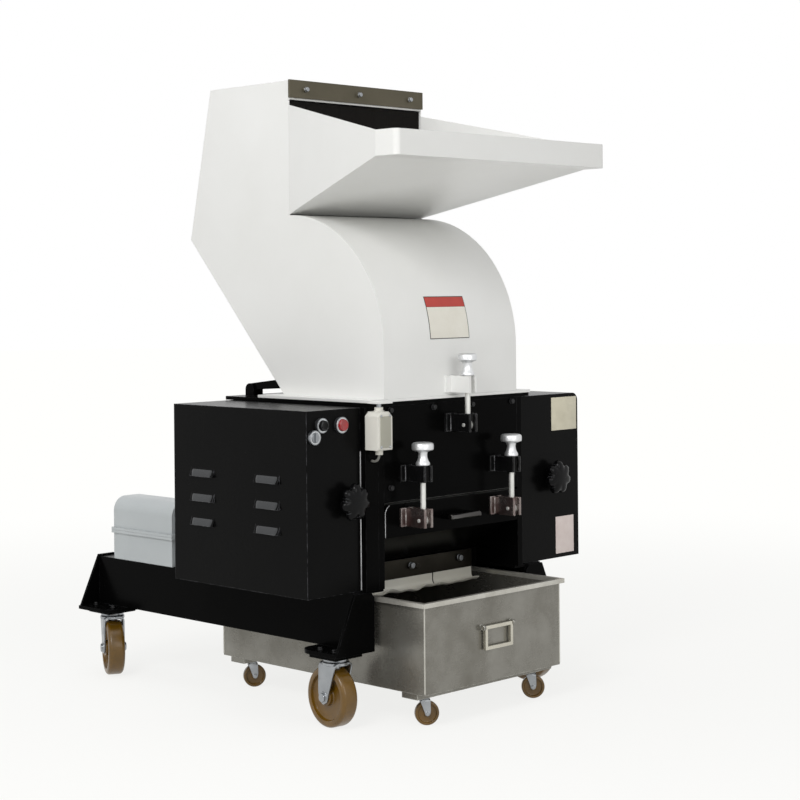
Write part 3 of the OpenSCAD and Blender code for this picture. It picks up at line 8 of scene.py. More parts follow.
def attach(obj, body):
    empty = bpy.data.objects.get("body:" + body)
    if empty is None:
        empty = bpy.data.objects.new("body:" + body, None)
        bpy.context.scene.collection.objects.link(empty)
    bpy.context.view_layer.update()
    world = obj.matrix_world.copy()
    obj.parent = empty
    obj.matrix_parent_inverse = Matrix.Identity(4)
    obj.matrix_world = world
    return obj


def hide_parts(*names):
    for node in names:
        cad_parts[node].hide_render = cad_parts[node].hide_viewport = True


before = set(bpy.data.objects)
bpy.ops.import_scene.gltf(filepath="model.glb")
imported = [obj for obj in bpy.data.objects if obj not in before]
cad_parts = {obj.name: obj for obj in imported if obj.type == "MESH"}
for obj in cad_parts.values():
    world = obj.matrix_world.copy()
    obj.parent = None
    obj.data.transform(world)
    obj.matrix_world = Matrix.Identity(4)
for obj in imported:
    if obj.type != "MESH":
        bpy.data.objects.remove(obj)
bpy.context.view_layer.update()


# ---- Camera, floor and studio light --------------------------------------------------
# The machine is seen level from its front left corner, from about four metres away.
# It stands on a plain pale floor in a white room, in soft light from above and in front.
def place_camera():
    yaw, roll = math.radians(45.42), math.radians(-0.52)
    right = np.array([math.cos(yaw), -math.sin(yaw), 0])
    forward = np.array([math.sin(yaw), math.cos(yaw), 0])
    up = np.array([0, 0, 1.0])
    side = math.cos(roll) * right + math.sin(roll) * up
    top = -math.sin(roll) * right + math.cos(roll) * up
    data = bpy.data.cameras.new("studio_camera")
    data.sensor_fit = "HORIZONTAL"
    data.sensor_width = 36.0
    data.lens = 1815.0 / 800 * 36.0
    data.shift_x = (400 - 397.1) / 800
    data.shift_y = (290.4 - 400) / 800
    data.clip_end = 60
    camera = bpy.data.objects.new("studio_camera", data)
    turn = Matrix([list(side), list(top), list(-forward)]).transposed().to_4x4()
    camera.matrix_world = Matrix.Translation((-2.8501, -2.9952, 0.8871)) @ turn
    bpy.context.scene.collection.objects.link(camera)
    bpy.context.scene.camera = camera


def softbox(name, at, aim, size, watts):
    data = bpy.data.lights.new(name, "AREA")
    data.shape = "RECTANGLE"
    data.size, data.size_y = size
    data.energy = watts
    lamp = bpy.data.objects.new(name, data)
    run = np.array(aim) - np.array(at)
    lamp.location = at
    lamp.rotation_euler = (math.atan2(math.hypot(run[0], run[1]), -run[2]), 0, math.atan2(-run[0], run[1]))
    bpy.context.scene.collection.objects.link(lamp)


def looked_at(tree):
    """1 for a ray from the camera, off gloss or through glass, 0 for a ray of plain light."""
    path = tree.nodes.new("ShaderNodeLightPath")
    seen = path.outputs["Is Camera Ray"]
    for ray in ("Is Glossy Ray", "Is Transmission Ray"):
        either = tree.nodes.new("ShaderNodeMath")
        either.operation = "MAXIMUM"
        tree.links.new(seen, either.inputs[0])
        tree.links.new(path.outputs[ray], either.inputs[1])
        seen = either.outputs[0]
    return seen


def white_room():
    """World: plain white where camera, gloss or glass look at it, a softer white as light."""
    world = bpy.data.worlds.new("white_room")
    world.use_nodes = True
    bpy.context.scene.world = world
    tree = world.node_tree
    tree.nodes.clear()
    nodes, links = tree.nodes, tree.links
    soft_light, plain_white = 0.42, 1.0
    strength = nodes.new("ShaderNodeMix")
    strength.inputs["A"].default_value = soft_light
    strength.inputs["B"].default_value = plain_white
    links.new(looked_at(tree), strength.inputs["Factor"])
    back = nodes.new("ShaderNodeBackground")
    back.inputs["Color"].default_value = (1, 1, 1, 1)
    links.new(strength.outputs["Result"], back.inputs["Strength"])
    out = nodes.new("ShaderNodeOutputWorld")
    links.new(back.outputs[0], out.inputs[0])


def pale_floor():
    """A disc as points on rings: (r cos a, r sin a, 0), just under the castors.
    Its colour lifts to plain white away from the machine."""
    below = -0.0005
    ring = np.array([0.0, 1, 2, 4, 8, 16, 25])
    angle = np.linspace(0, 2 * np.pi, 65)[:-1]
    x = np.outer(ring, np.cos(angle)).ravel()
    y = np.outer(ring, np.sin(angle)).ravel()
    points = np.stack([x, y, np.full_like(x, below)], 1)
    n = len(angle)
    i, j = np.meshgrid(np.arange(len(ring) - 1), np.arange(n), indexing="ij")
    k = (j + 1) % n
    quads = np.stack([i * n + j, (i + 1) * n + j, (i + 1) * n + k, i * n + k], -1).reshape(-1, 4)
    mesh = bpy.data.meshes.new("studio_floor")
    mesh.from_pydata(points.tolist(), [], quads.tolist())
    floor = bpy.data.objects.new("studio_floor", mesh)
    bpy.context.scene.collection.objects.link(floor)
    material = bpy.data.materials.new("pale_floor")
    material.use_nodes = True
    tree = material.node_tree
    tree.nodes.clear()
    place = tree.nodes.new("ShaderNodeTexCoord")
    away = tree.nodes.new("ShaderNodeVectorMath")
    away.operation = "LENGTH"
    tree.links.new(place.outputs["Object"], away.inputs[0])
    fade = tree.nodes.new("ShaderNodeMapRange")
    fade.interpolation_type = "SMOOTHSTEP"
    fade.inputs["From Min"].default_value = 0.7
    fade.inputs["From Max"].default_value = 3.5
    fade.inputs["To Min"].default_value = 0.82
    fade.inputs["To Max"].default_value = 1.0
    tree.links.new(away.outputs["Value"], fade.inputs["Value"])
    share = tree.nodes.new("ShaderNodeMath")
    share.operation = "MULTIPLY"
    tree.links.new(fade.outputs["Result"], share.inputs[0])
    tree.links.new(looked_at(tree), share.inputs[1])
    plain = tree.nodes.new("ShaderNodeBsdfDiffuse")
    plain.inputs["Color"].default_value = (0.86, 0.86, 0.84, 1)
    white = tree.nodes.new("ShaderNodeEmission")
    white.inputs["Color"].default_value = (1, 1, 0.985, 1)
    mix = tree.nodes.new("ShaderNodeMixShader")
    tree.links.new(share.outputs[0], mix.inputs[0])
    tree.links.new(plain.outputs[0], mix.inputs[1])
    tree.links.new(white.outputs[0], mix.inputs[2])
    out = tree.nodes.new("ShaderNodeOutputMaterial")
    tree.links.new(mix.outputs[0], out.inputs[0])
    mesh.materials.append(material)


bpy.context.scene.view_settings.view_transform = "Standard"
place_camera()
white_room()
pale_floor()
middle = (0, 0, 0.8)
softbox("key_light", (-3.1, -1.2, 2.7), middle, size=(1.35, 1.2), watts=63)
softbox("fill_light", (-0.9, -3.9, 1.9), middle, size=(2.2, 2.0), watts=34)
softbox("top_light", (-0.3, 0.4, 3.6), middle, size=(2.4, 2.4), watts=26)


# ---- Floor frame ---------------------------------------------------------------------
# Two box rails with cross members, end gussets and castor plates, welded from steel.
# It is stove enamelled satin black, rubbed a little lighter along its edges. The chamber's plates
# and deck, the bearing box, the hinge arms and the chute are enamelled with it.
def srgb(code):
    """Linear colour of a hex code: each channel over 255, through the sRGB curve."""
    values = [int(code[i:i + 2], 16) / 255 for i in (1, 3, 5)]
    return tuple(v / 12.92 if v <= 0.04045 else ((v + 0.055) / 1.055) ** 2.4 for v in values) + (1.0,)


def shader_group(name, inputs, outputs):
    group = bpy.data.node_groups.new(name, "ShaderNodeTree")
    for socket, value in inputs:
        made = group.interface.new_socket(socket, in_out="INPUT", socket_type="NodeSocketFloat")
        made.default_value = value
    for socket, kind in outputs:
        group.interface.new_socket(socket, in_out="OUTPUT", socket_type=kind)
    return group, group.nodes.new("NodeGroupInput"), group.nodes.new("NodeGroupOutput")


def make_edge_wear_and_highlight():
    """Rounds the shading normal over Radius; the mask is where it leaves the flat normal, in patches
    of noise."""
    group, given, out = shader_group(
        "edge_wear_and_highlight", [("Radius", 0.002), ("Amount", 0.5), ("Patch Scale", 60.0)],
        [("Mask", "NodeSocketFloat"), ("Normal", "NodeSocketVector")])
    nodes, links = group.nodes, group.links
    bevel = nodes.new("ShaderNodeBevel")
    bevel.samples = 6
    links.new(given.outputs["Radius"], bevel.inputs["Radius"])
    flat = nodes.new("ShaderNodeNewGeometry")
    dot = nodes.new("ShaderNodeVectorMath")
    dot.operation = "DOT_PRODUCT"
    links.new(bevel.outputs[0], dot.inputs[0])
    links.new(flat.outputs["Normal"], dot.inputs[1])
    edge = nodes.new("ShaderNodeMapRange")
    edge.inputs["From Min"].default_value = 0.985
    edge.inputs["From Max"].default_value = 0.86
    links.new(dot.outputs["Value"], edge.inputs["Value"])
    place = nodes.new("ShaderNodeTexCoord")
    patch = nodes.new("ShaderNodeTexNoise")
    patch.inputs["Detail"].default_value = 6.0
    patch.inputs["Roughness"].default_value = 0.65
    links.new(place.outputs["Object"], patch.inputs["Vector"])
    links.new(given.outputs["Patch Scale"], patch.inputs["Scale"])
    rub_and_highlight = nodes.new("ShaderNodeMapRange")
    rub_and_highlight.inputs["From Min"].default_value = 0.42
    rub_and_highlight.inputs["From Max"].default_value = 0.66
    links.new(patch.outputs["Fac"], rub_and_highlight.inputs["Value"])
    both = nodes.new("ShaderNodeMath")
    both.operation = "MULTIPLY"
    links.new(edge.outputs["Result"], both.inputs[0])
    links.new(rub_and_highlight.outputs["Result"], both.inputs[1])
    strong = nodes.new("ShaderNodeMath")
    strong.operation = "MULTIPLY"
    strong.use_clamp = True
    links.new(both.outputs[0], strong.inputs[0])
    links.new(given.outputs["Amount"], strong.inputs[1])
    links.new(strong.outputs[0], out.inputs["Mask"])
    links.new(bevel.outputs[0], out.inputs["Normal"])
    return group


def make_skin_grain():
    """Two noises, a broad cloud and a fine grain; Stretch X, Y and Z draw the fine one out into brush lines."""
    group, given, out = shader_group(
        "skin_grain",
        [("Cloud Scale", 4.0), ("Grain Scale", 400.0),
         ("Stretch X", 1.0), ("Stretch Y", 1.0), ("Stretch Z", 1.0)],
        [("Cloud", "NodeSocketFloat"), ("Grain", "NodeSocketFloat")])
    nodes, links = group.nodes, group.links
    place = nodes.new("ShaderNodeTexCoord")
    cloud = nodes.new("ShaderNodeTexNoise")
    cloud.inputs["Detail"].default_value = 5.0
    cloud.inputs["Roughness"].default_value = 0.6
    links.new(place.outputs["Object"], cloud.inputs["Vector"])
    links.new(given.outputs["Cloud Scale"], cloud.inputs["Scale"])
    spread = nodes.new("ShaderNodeMapRange")
    spread.inputs["From Min"].default_value = 0.3
    spread.inputs["From Max"].default_value = 0.7
    links.new(cloud.outputs["Fac"], spread.inputs["Value"])
    drawn = nodes.new("ShaderNodeCombineXYZ")
    for axis in "XYZ":
        links.new(given.outputs["Stretch " + axis], drawn.inputs[axis])
    pulled = nodes.new("ShaderNodeVectorMath")
    pulled.operation = "MULTIPLY"
    links.new(place.outputs["Object"], pulled.inputs[0])
    links.new(drawn.outputs[0], pulled.inputs[1])
    grain = nodes.new("ShaderNodeTexNoise")
    grain.inputs["Detail"].default_value = 3.0
    links.new(pulled.outputs[0], grain.inputs["Vector"])
    links.new(given.outputs["Grain Scale"], grain.inputs["Scale"])
    links.new(spread.outputs["Result"], out.inputs["Cloud"])
    links.new(grain.outputs["Fac"], out.inputs["Grain"])
    return group


edge_wear_and_highlight = make_edge_wear_and_highlight()
skin_grain = make_skin_grain()


def finish(name, colour, shade, rough, metal=0.0, grain=(4.0, 400.0), stretch=(1, 1, 1), bump=0.05,
           edge_rub_and_highlight=(0.002, 0.5), rub_and_highlight_colour="#6A6A6A", coat=0.0, shine=0.5):
    """A painted, metal or moulded finish: colour clouds into shade, the grain moves roughness and
    height, and edges turn to the edge colour, which is rubbed paint on some finishes and a painted
    highlight on others. rough is its least and most value, grain the scales of cloud and grain,
    edge_rub_and_highlight the radius and amount at the edges."""
    material = bpy.data.materials.new(name)
    material.use_nodes = True
    tree = material.node_tree
    nodes, links = tree.nodes, tree.links
    skin = nodes["Principled BSDF"]
    skin.inputs["Metallic"].default_value = metal
    skin.inputs["Coat Weight"].default_value = coat
    skin.inputs["Coat Roughness"].default_value = 0.12
    skin.inputs["Specular IOR Level"].default_value = shine
    texture = nodes.new("ShaderNodeGroup")
    texture.node_tree = skin_grain
    texture.inputs["Cloud Scale"].default_value, texture.inputs["Grain Scale"].default_value = grain
    for axis, value in zip("XYZ", stretch):
        texture.inputs["Stretch " + axis].default_value = value
    edge = nodes.new("ShaderNodeGroup")
    edge.node_tree = edge_wear_and_highlight
    edge.inputs["Radius"].default_value, edge.inputs["Amount"].default_value = edge_rub_and_highlight
    body = nodes.new("ShaderNodeMix")
    body.data_type = "RGBA"
    body.inputs["A"].default_value = srgb(colour)
    body.inputs["B"].default_value = srgb(shade)
    links.new(texture.outputs["Cloud"], body.inputs["Factor"])
    rub_and_highlight = nodes.new("ShaderNodeMix")
    rub_and_highlight.data_type = "RGBA"
    rub_and_highlight.inputs["B"].default_value = srgb(rub_and_highlight_colour)
    links.new(edge.outputs["Mask"], rub_and_highlight.inputs["Factor"])
    links.new(body.outputs["Result"], rub_and_highlight.inputs["A"])
    links.new(rub_and_highlight.outputs["Result"], skin.inputs["Base Color"])
    both = nodes.new("ShaderNodeMix")
    both.inputs["Factor"].default_value = 0.5
    links.new(texture.outputs["Cloud"], both.inputs["A"])
    links.new(texture.outputs["Grain"], both.inputs["B"])
    gloss = nodes.new("ShaderNodeMapRange")
    gloss.inputs["To Min"].default_value, gloss.inputs["To Max"].default_value = rough
    links.new(both.outputs["Result"], gloss.inputs["Value"])
    links.new(gloss.outputs["Result"], skin.inputs["Roughness"])
    lift = nodes.new("ShaderNodeBump")
    lift.inputs["Strength"].default_value = bump
    lift.inputs["Distance"].default_value = 0.0004
    links.new(texture.outputs["Grain"], lift.inputs["Height"])
    links.new(edge.outputs["Normal"], lift.inputs["Normal"])
    links.new(lift.outputs["Normal"], skin.inputs["Normal"])
    return material


def dress(material, *nodes):
    for node in nodes:
        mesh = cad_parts[node].data
        mesh.materials.clear()
        mesh.materials.append(material)


satin_black = finish("satin_black_enamel", "#050505", "#080808", (0.16, 0.28), grain=(3.0, 900.0), bump=0.04,
                     edge_rub_and_highlight=(0.0018, 0.9), rub_and_highlight_colour="#2E2E30", shine=0.02)
dress(satin_black, "base_frame", "chamber_sides", "chamber_walls", "top_plate", "bearing_box", "hinge_arms",
      "discharge_chute")


# ---- Castors -------------------------------------------------------------------------
# Each castor is a zinc plated fork of folded steel under a ball race, with a bolt through it.
# It carries a cast amber wheel with a broad rounded tread, a sunk web and a raised hub.
# Blackened bolts hold its plate to the frame. The bin's castors are the same at 0.4 of the size.
drawing_origin = np.array([7.0, 94.5, 0])  # the frame's origin in the drawing's millimetres


def surface(points, closed=False):
    """A grid of points (rows, columns, 3), each row a loop, as quads between the rows.
    The last row meets the first where closed; otherwise flat caps shut both ends."""
    rows, columns = points.shape[:2]
    i, j = np.meshgrid(np.arange(rows - (not closed)), np.arange(columns), indexing="ij")
    down, along = (i + 1) % rows, (j + 1) % columns
    quads = np.stack([i * columns + j, i * columns + along, down * columns + along, down * columns + j], -1)
    faces = quads.reshape(-1, 4).tolist()
    if not closed:
        faces += [list(range(columns))[::-1], list(range((rows - 1) * columns, rows * columns))]
    return points.reshape(-1, 3), faces


def turned(profile, axis="Z", steps=48, closed=False):
    """Turning: the profile's (radius, height) pairs carried round the axis, (r cos a, r sin a, h)."""
    profile = np.array(profile, float)
    a = np.linspace(0, 2 * np.pi, steps + 1)[:-1]
    r, h = profile[:, :1], np.repeat(profile[:, 1:], steps, 1)
    points = np.stack([r * np.cos(a), r * np.sin(a), h], -1)
    return surface(lay(points, axis), closed)


def lay(points, axis):
    """Lays a shape drawn along Z along X or Y instead."""
    order = {"X": (2, 0, 1), "Y": (0, 2, 1), "Z": (0, 1, 2)}[axis]
    return points[..., order]


def hex_head(across, height, axis, at=(0, 0, 0)):
    """Hexagon: radius a / cos(angle to the flat's middle), cut by the cone of its chamfer."""
    a = np.linspace(0, 2 * np.pi, 37)[:-1]
    half = across / 2
    six = half / np.cos((a + np.pi / 6) % (np.pi / 3) - np.pi / 6)
    level = np.array([0, 0.78, 0.9, 1.0]) * height
    limit = np.array([2, 1.16, 1.07, 0.97]) * half
    r = np.minimum(six[None, :], limit[:, None])
    points = np.stack([r * np.cos(a), r * np.sin(a), np.repeat(level[:, None], 36, 1)], -1)
    points, faces = surface(lay(points, axis))
    return points + np.array(at, float), faces


def block(low, high, r, steps=4):
    """Rounded block: each point is a corner of the inner core plus r times a direction on the sphere."""
    low, high = np.array(low, float), np.array(high, float)
    middle, core = (low + high) / 2, (high - low) / 2 - r
    quarter = np.linspace(0, np.pi / 2, steps + 1)
    around = np.concatenate([quarter + k * np.pi / 2 for k in range(4)])
    sx = np.repeat([1, -1, -1, 1], steps + 1)
    sy = np.repeat([1, 1, -1, -1], steps + 1)
    rise = np.concatenate([quarter - np.pi / 2, quarter])
    sz = np.repeat([-1, 1], steps + 1)
    flat = np.cos(rise)[:, None]
    x = middle[0] + core[0] * sx + r * flat * np.cos(around)
    y = middle[1] + core[1] * sy + r * flat * np.sin(around)
    z = (middle[2] + core[2] * sz + r * np.sin(rise))[:, None] + 0 * x
    return surface(np.stack([x, y, z], -1))


def moved(part, by):
    return part[0] + np.array(by, float), part[1]


def piece(name, parts, body, material, slot, replaces=(), place=None):
    """Joins parts drawn in the machine's millimetres into one object; place turns and moves them first."""
    points, faces, count = [], [], 0
    for part_points, part_faces in parts:
        points.append(part_points if place is None else place(part_points))
        faces += [[count + k for k in face] for face in part_faces]
        count += len(part_points)
    points = (np.concatenate(points) - drawing_origin) / 1000
    mesh = bpy.data.meshes.new(name)
    mesh.from_pydata(points.tolist(), [], faces)
    shape = bmesh.new()
    shape.from_mesh(mesh)
    bmesh.ops.remove_doubles(shape, verts=shape.verts, dist=1e-6)
    bmesh.ops.recalc_face_normals(shape, faces=shape.faces)
    shape.to_mesh(mesh)
    shape.free()
    mesh.shade_smooth()
    mesh.set_sharp_from_angle(angle=math.radians(35))
    mesh.materials.append(material)
    made = bpy.data.objects.new(name, mesh)
    bpy.context.scene.collection.objects.link(made)
    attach(made, body)
    if replaces:
        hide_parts(*replaces)
    return made


zinc = finish("zinc_plate", "#A6A9AC", "#8E9194", (0.28, 0.42), metal=1.0, grain=(12.0, 600.0), bump=0.04,
              edge_rub_and_highlight=(0.001, 0.4), rub_and_highlight_colour="#C8CACC")
amber = finish("amber_polyurethane", "#745208", "#523A04", (0.25, 0.45), grain=(14.0, 300.0), bump=0.05,
               edge_rub_and_highlight=(0.0015, 0.3), rub_and_highlight_colour="#8C6A38", coat=0.15)


def fork_parts():
    """Folded fork: a strip carried over an upturned U, its width drawn in from the crown to the axle."""
    leg, top, corner, axle, trail = 22.2, 133.0, 9.0, 62.5, 12.0
    bend = np.linspace(0, np.pi / 2, 8)
    x = np.concatenate([np.full(14, leg), leg - corner + corner * np.cos(bend)])
    z = np.concatenate([np.linspace(axle - 13.9, top - corner, 15)[:-1], top - corner + corner * np.sin(bend)])
    x, z = np.concatenate([x, -x[::-1]]), np.concatenate([z, z[::-1]])
    drop = np.clip((top - z) / (top - axle), 0, 1)
    half = np.where(z < axle, np.sqrt(np.clip(14.0 ** 2 - (axle - z) ** 2, 4, None)),
                    14 + 13 * (1 - drop) ** 0.8)
    middle = trail * np.clip(drop * 1.15, 0, 1)
    side = np.gradient(np.stack([x, z], 1), axis=0)
    side /= np.linalg.norm(side, axis=1)[:, None]
    out = np.stack([side[:, 1], -side[:, 0]], 1)
    section = np.array([[-1, 0.6], [-1, 3.4], [-0.96, 4], [0.96, 4],
                        [1, 3.4], [1, 0.6], [0.96, 0], [-0.96, 0]])
    strip = np.stack([x[:, None] + out[:, :1] * (section[:, 1] - 2),
                      middle[:, None] + half[:, None] * section[:, 0],
                      z[:, None] + out[:, 1:] * (section[:, 1] - 2)], -1)
    race = turned([(0, 129), (28, 129), (28, 134), (25.5, 137), (26.5, 138.5), (27.5, 141),
                   (26.5, 143.6), (0, 143.6)])
    pin = turned([(0, 118), (9, 118), (10.5, 121), (10.5, 129.5), (7.9, 129.5), (7.9, 157.6),
                  (0, 157.6)])
    axle_bolt = turned([(0, -24), (5.9, -24), (5.9, 24), (0, 24)], "X", 32)
    parts = [surface(strip), race, pin, moved(axle_bolt, (0, trail, axle))]
    for way in (1, -1):
        washer = turned([(0, 23.9), (12, 23.9), (12, 25.3), (0, 25.3)], "X", 32)
        head = hex_head(17, 4.4, "X", (25, 0, 0))
        for points, faces in (washer, head):
            parts.append((points * np.array([way, 1, 1]) + np.array([0, trail, axle]), faces))
    return parts


def wheel_parts():
    """Wheel: tread, side ring, sunk web and hub turned as one closed profile of (radius, distance
    from its middle)."""
    a = np.linspace(0, np.pi / 2, 8)
    tread = [(54.5 + 8 * math.sin(t), 11 + 8 * math.cos(t)) for t in a]
    half = [(6.1, 20), (11, 20), (16, 19.6), (17.2, 18.4), (17.6, 12), (19.5, 10.2), (30, 9.6), (43, 9.8),
            (46.5, 11), (48, 13.5), (48.6, 18), (50, 19)] + tread
    profile = half + [(r, -h) for r, h in half[::-1]]
    ring = turned(profile, "X", 72, closed=True)
    return [moved(ring, (0, 12, 62.5))]


def castor(name, swivel, turn, scale, flip, body):
    a = math.radians(turn)
    spin = np.array([[math.cos(a), -math.sin(a), 0], [math.sin(a), math.cos(a), 0], [0, 0, 1]])

    def place(points):
        points = (points * scale) @ spin.T + np.array([swivel[0], swivel[1], 0])
        return points * np.array([flip, 1, 1])
    piece("fork_" + name, fork_parts(), body + "_fork", zinc, "zinc_plate", [name + "_fork"], place)
    piece("wheel_" + name, wheel_parts(), body + "_wheel", amber, "amber_wheel", [name + "_wheel"], place)


for end, swivel, turn in (("front", (-308, -218), -5.4), ("rear", (-294, 555), 152.1)):
    castor(end + "_left", swivel, turn, 1, 1, end + "_left")
    castor(end + "_right", swivel, turn, 1, -1, end + "_right")
for name, swivel, turn in (("bin_front_left", (-171, -335), -125), ("bin_front_right", (163, -335), -135),
                           ("bin_rear_left", (-171, 200), -120), ("bin_rear_right", (163, 200), -140)):
    castor(name, swivel, turn, 0.4, 1, name)


def bolt(x, y, z, across, axis, way):
    """Hexagon head of 0.55 times its width on a washer of 1.2 times its width, out along the axis."""
    height = 0.55 * across
    washer = turned([(0, 0), (0.6 * across, 0), (0.6 * across, 1.2), (0, 1.2)], axis, 24)
    head = hex_head(across, height, axis)
    flip = np.ones(3)
    flip["XYZ".index(axis)] = way
    lift = np.zeros(3)
    lift["XYZ".index(axis)] = 1.1
    return [(part * flip + np.array([x, y, z]), faces)
            for part, faces in (washer, (head[0] + lift, head[1]))]


def bolts(name, places, across, axis, way, body, material=zinc, slot="zinc_plate"):
    parts = [part for place in places for part in bolt(*place, across, axis, way)]
    return piece(name, parts, body, material, slot)


black_bolts = finish("blackened_bolt", "#1B1B1C", "#262627", (0.3, 0.45), metal=0.6, edge_rub_and_highlight=(0.0008, 0.8),
                     rub_and_highlight_colour="#5A5A5C")
plate_bolts = ((330, -196), (330, -238), (316, 522), (316, 588))
bolts("castor_plate_bolts", [(s * x, y, 158) for s in (-1, 1) for x, y in plate_bolts], 9, "Z", 1, "machine",
      black_bolts, "satin_black_paint")


# ---- Cutting chamber, rotor and bearings ---------------------------------------------
# The chamber's black walls are held by blackened bolts between two thick side plates.
# The rotor, its knives, the screen, the flywheel and the flanged bearings are machined steel;
# zinc plated bolts hold the bearings, and blackened socket screws the knives.
bare_steel = finish("machined_steel", "#8F8F8C", "#7A7A76", (0.22, 0.42), metal=1.0, grain=(9.0, 500.0),
                    bump=0.05, edge_rub_and_highlight=(0.001, 0.4), rub_and_highlight_colour="#B5B5B2")
dress(bare_steel, "bearing_housings", "rotor_shaft", "rotor_hub", "flywheel", "rotor_pulley", "motor_rotor",
      "screen", "fixed_knives", "rotor_knives")
wall_front, rotor_y, rotor_z = -262, -137, 465
front_bolts = [(x, wall_front, z) for x in (-190, 190) for z in (480, 640)]
front_bolts += [(x, wall_front, 640) for x in (-60, 60)]
bolts("chamber_front_bolts", front_bolts, 10, "Y", -1, "machine", black_bolts, "satin_black_paint")
for s, name in ((-1, "left"), (1, "right")):
    circle = [(s * 237, rotor_y + 50 * math.cos(a), rotor_z + 50 * math.sin(a))
              for a in np.radians([45, 135, 225, 315])]
    bolts("bearing_bolts_" + name, circle, 12, "X", s, "machine")
screw, screw_faces = turned([(0, -2), (7, -2), (7, 4), (6, 5), (3.2, 5), (3.2, 2), (0, 2)], "Y", 24)
knife_screws = []
for a in np.radians([0, 120, 240]):
    turn = np.array([[1, 0, 0], [0, math.cos(a), -math.sin(a)], [0, math.sin(a), math.cos(a)]])
    for x in (-150, -50, 50, 150):
        # 80 mm out along the knife's radius and 12 mm aside, on its face
        y, z = 12 * math.cos(a) - 80 * math.sin(a), 12 * math.sin(a) + 80 * math.cos(a)
        knife_screws.append((screw @ turn.T + np.array([x, y + rotor_y, z + rotor_z]), screw_faces))
piece("knife_screws", knife_screws, "rotor", black_bolts, "bare_steel")


# ---- Upper clamp brackets ------------------------------------------------------------
# The three upper brackets on the chamber wall are folded flat bar, lightened along their edges as a painted
# highlight.
# They take the knobs; the swing bolts pass between their cheeks.
def strap_parts(x, z0, z1, r):
    """A root strap on the wall with two cheeks standing off it, their edges rounded by r."""
    root = block((x - 25.9, -268.5, z0), (x + 12.9, -261.6, z1), r)
    return [root] + [block((cheek, -322.4, z0), (cheek + 6.7, -262, z1), r) for cheek in (x - 12.9, x + 6.2)]


# The light edge colour of this finish is a painted highlight on the rounded edges.
strap_black = finish("strap_enamel", "#0A0A0A", "#121213", (0.14, 0.26), edge_rub_and_highlight=(0.0032, 1.0), rub_and_highlight_colour="#98989B",
                     shine=0.2)
upper_straps = []
for x, z0, z1 in ((-139, 490.6, 525.3), (139, 490.6, 525.3), (0, 585.6, 625.3)):
    upper_straps += strap_parts(x, z0, z1, 1.8)
piece("upper_clamp_straps", upper_straps, "machine", strap_black, "satin_black_paint")


# ---- Motor and belts -----------------------------------------------------------------
# A foot mounted motor under the rear deck: finned body, smooth end shields, fan cowl and terminal
# box, cast and painted blue grey. Three black rubber V-belts drive the rotor inside the left door.
motor_paint = finish("motor_paint", "#3E4B52", "#36424A", (0.35, 0.5))
rubber = finish("black_rubber", "#0A0806", "#100D0A", (0.6, 0.8), grain=(8, 250), bump=0.12,
                edge_rub_and_highlight=(0.001, 0.4), rub_and_highlight_colour="#2C2721", shine=0.1)
dress(rubber, "drive_belts")


def finned(x0, x1):
    """Fins: radius 84.5 + 10 times a clipped cosine of 48 times the angle, carried along X."""
    a = np.linspace(0, 2 * np.pi, 48 * 8 + 1)[:-1]
    r = 84.5 + 10 * np.clip(1.6 * np.cos(48 * a), -0.5, 1)
    rows = [np.stack([np.full(len(a), x), 112 + r * np.cos(a), 386 + r * np.sin(a)], -1) for x in (x0, x1)]
    return surface(np.stack(rows))


def ring_x(profile):
    return moved(turned(profile, "X", 72), (0, 112, 386))


motor_parts = [finned(-128, 146),
               ring_x([(0, -150), (50, -150), (54, -148), (80, -146), (93, -138), (94.5, -127), (0, -127)]),
               ring_x([(0, 145), (94.5, 145), (94.5, 160), (91, 166), (89.5, 168), (89.5, 190), (85, 197),
                       (74, 199.5), (0, 199.8)]),
               block((-39.5, 72.5, 440), (39.5, 151.5, 518.8), 5)]
for x in (-130, 110):
    motor_parts.append(block((x, 37, 274), (x + 40, 187, 308), 4))
piece("finned_motor", motor_parts, "machine", motor_paint, "motor_paint", ["motor_body"])


# ---- Screen cradle -------------------------------------------------------------------
# The cradle drops to the front with its screen. Its front plate slides past the side wall, and a light
# strip down its left edge is a painted highlight. Its two clamp brackets are bare steel, browned a little by
# heat and lightened along their edges as a painted highlight, each of two rounded cheeks on a root strap,
# and a turned steel grip sits on the pull handle.
cradle_black = finish("cradle_enamel", "#050505", "#080808", (0.16, 0.28), grain=(3.0, 900.0), bump=0.04,
                      edge_rub_and_highlight=(0.0012, 0.3), rub_and_highlight_colour="#141415", shine=0.02)
dress(cradle_black, "cradle_frame")
# The near-white edge colour of this finish is a painted highlight along the brackets' edges.
heat_steel = finish("heat_tinted_steel", "#918986", "#5F4A47", (0.2, 0.36), metal=0.9, grain=(34.0, 500.0),
                    bump=0.05, edge_rub_and_highlight=(0.0028, 1.0), rub_and_highlight_colour="#D2CECA")
lower_straps = strap_parts(-139, 396.6, 436.4, 1.6) + strap_parts(139, 396.6, 436.4, 1.6)
piece("lower_clamp_straps", lower_straps, "cradle", heat_steel, "bare_steel")
grip_steel = finish("grip_steel", "#5C5A58", "#403E3D", (0.14, 0.26), metal=0.95, edge_rub_and_highlight=(0.001, 0.8),
                    rub_and_highlight_colour="#B0AEA8")
grip = turned([(0, -46.6), (5.4, -46.6), (6.7, -45), (6.7, -41), (6.15, -40), (6.15, 40), (6.7, 41), (6.7, 45),
               (5.4, 46.6), (0, 46.6)], "X", 32)
piece("pull_handle_grip", [moved(grip, (0, -295, 408))], "cradle", grip_steel, "bare_steel")


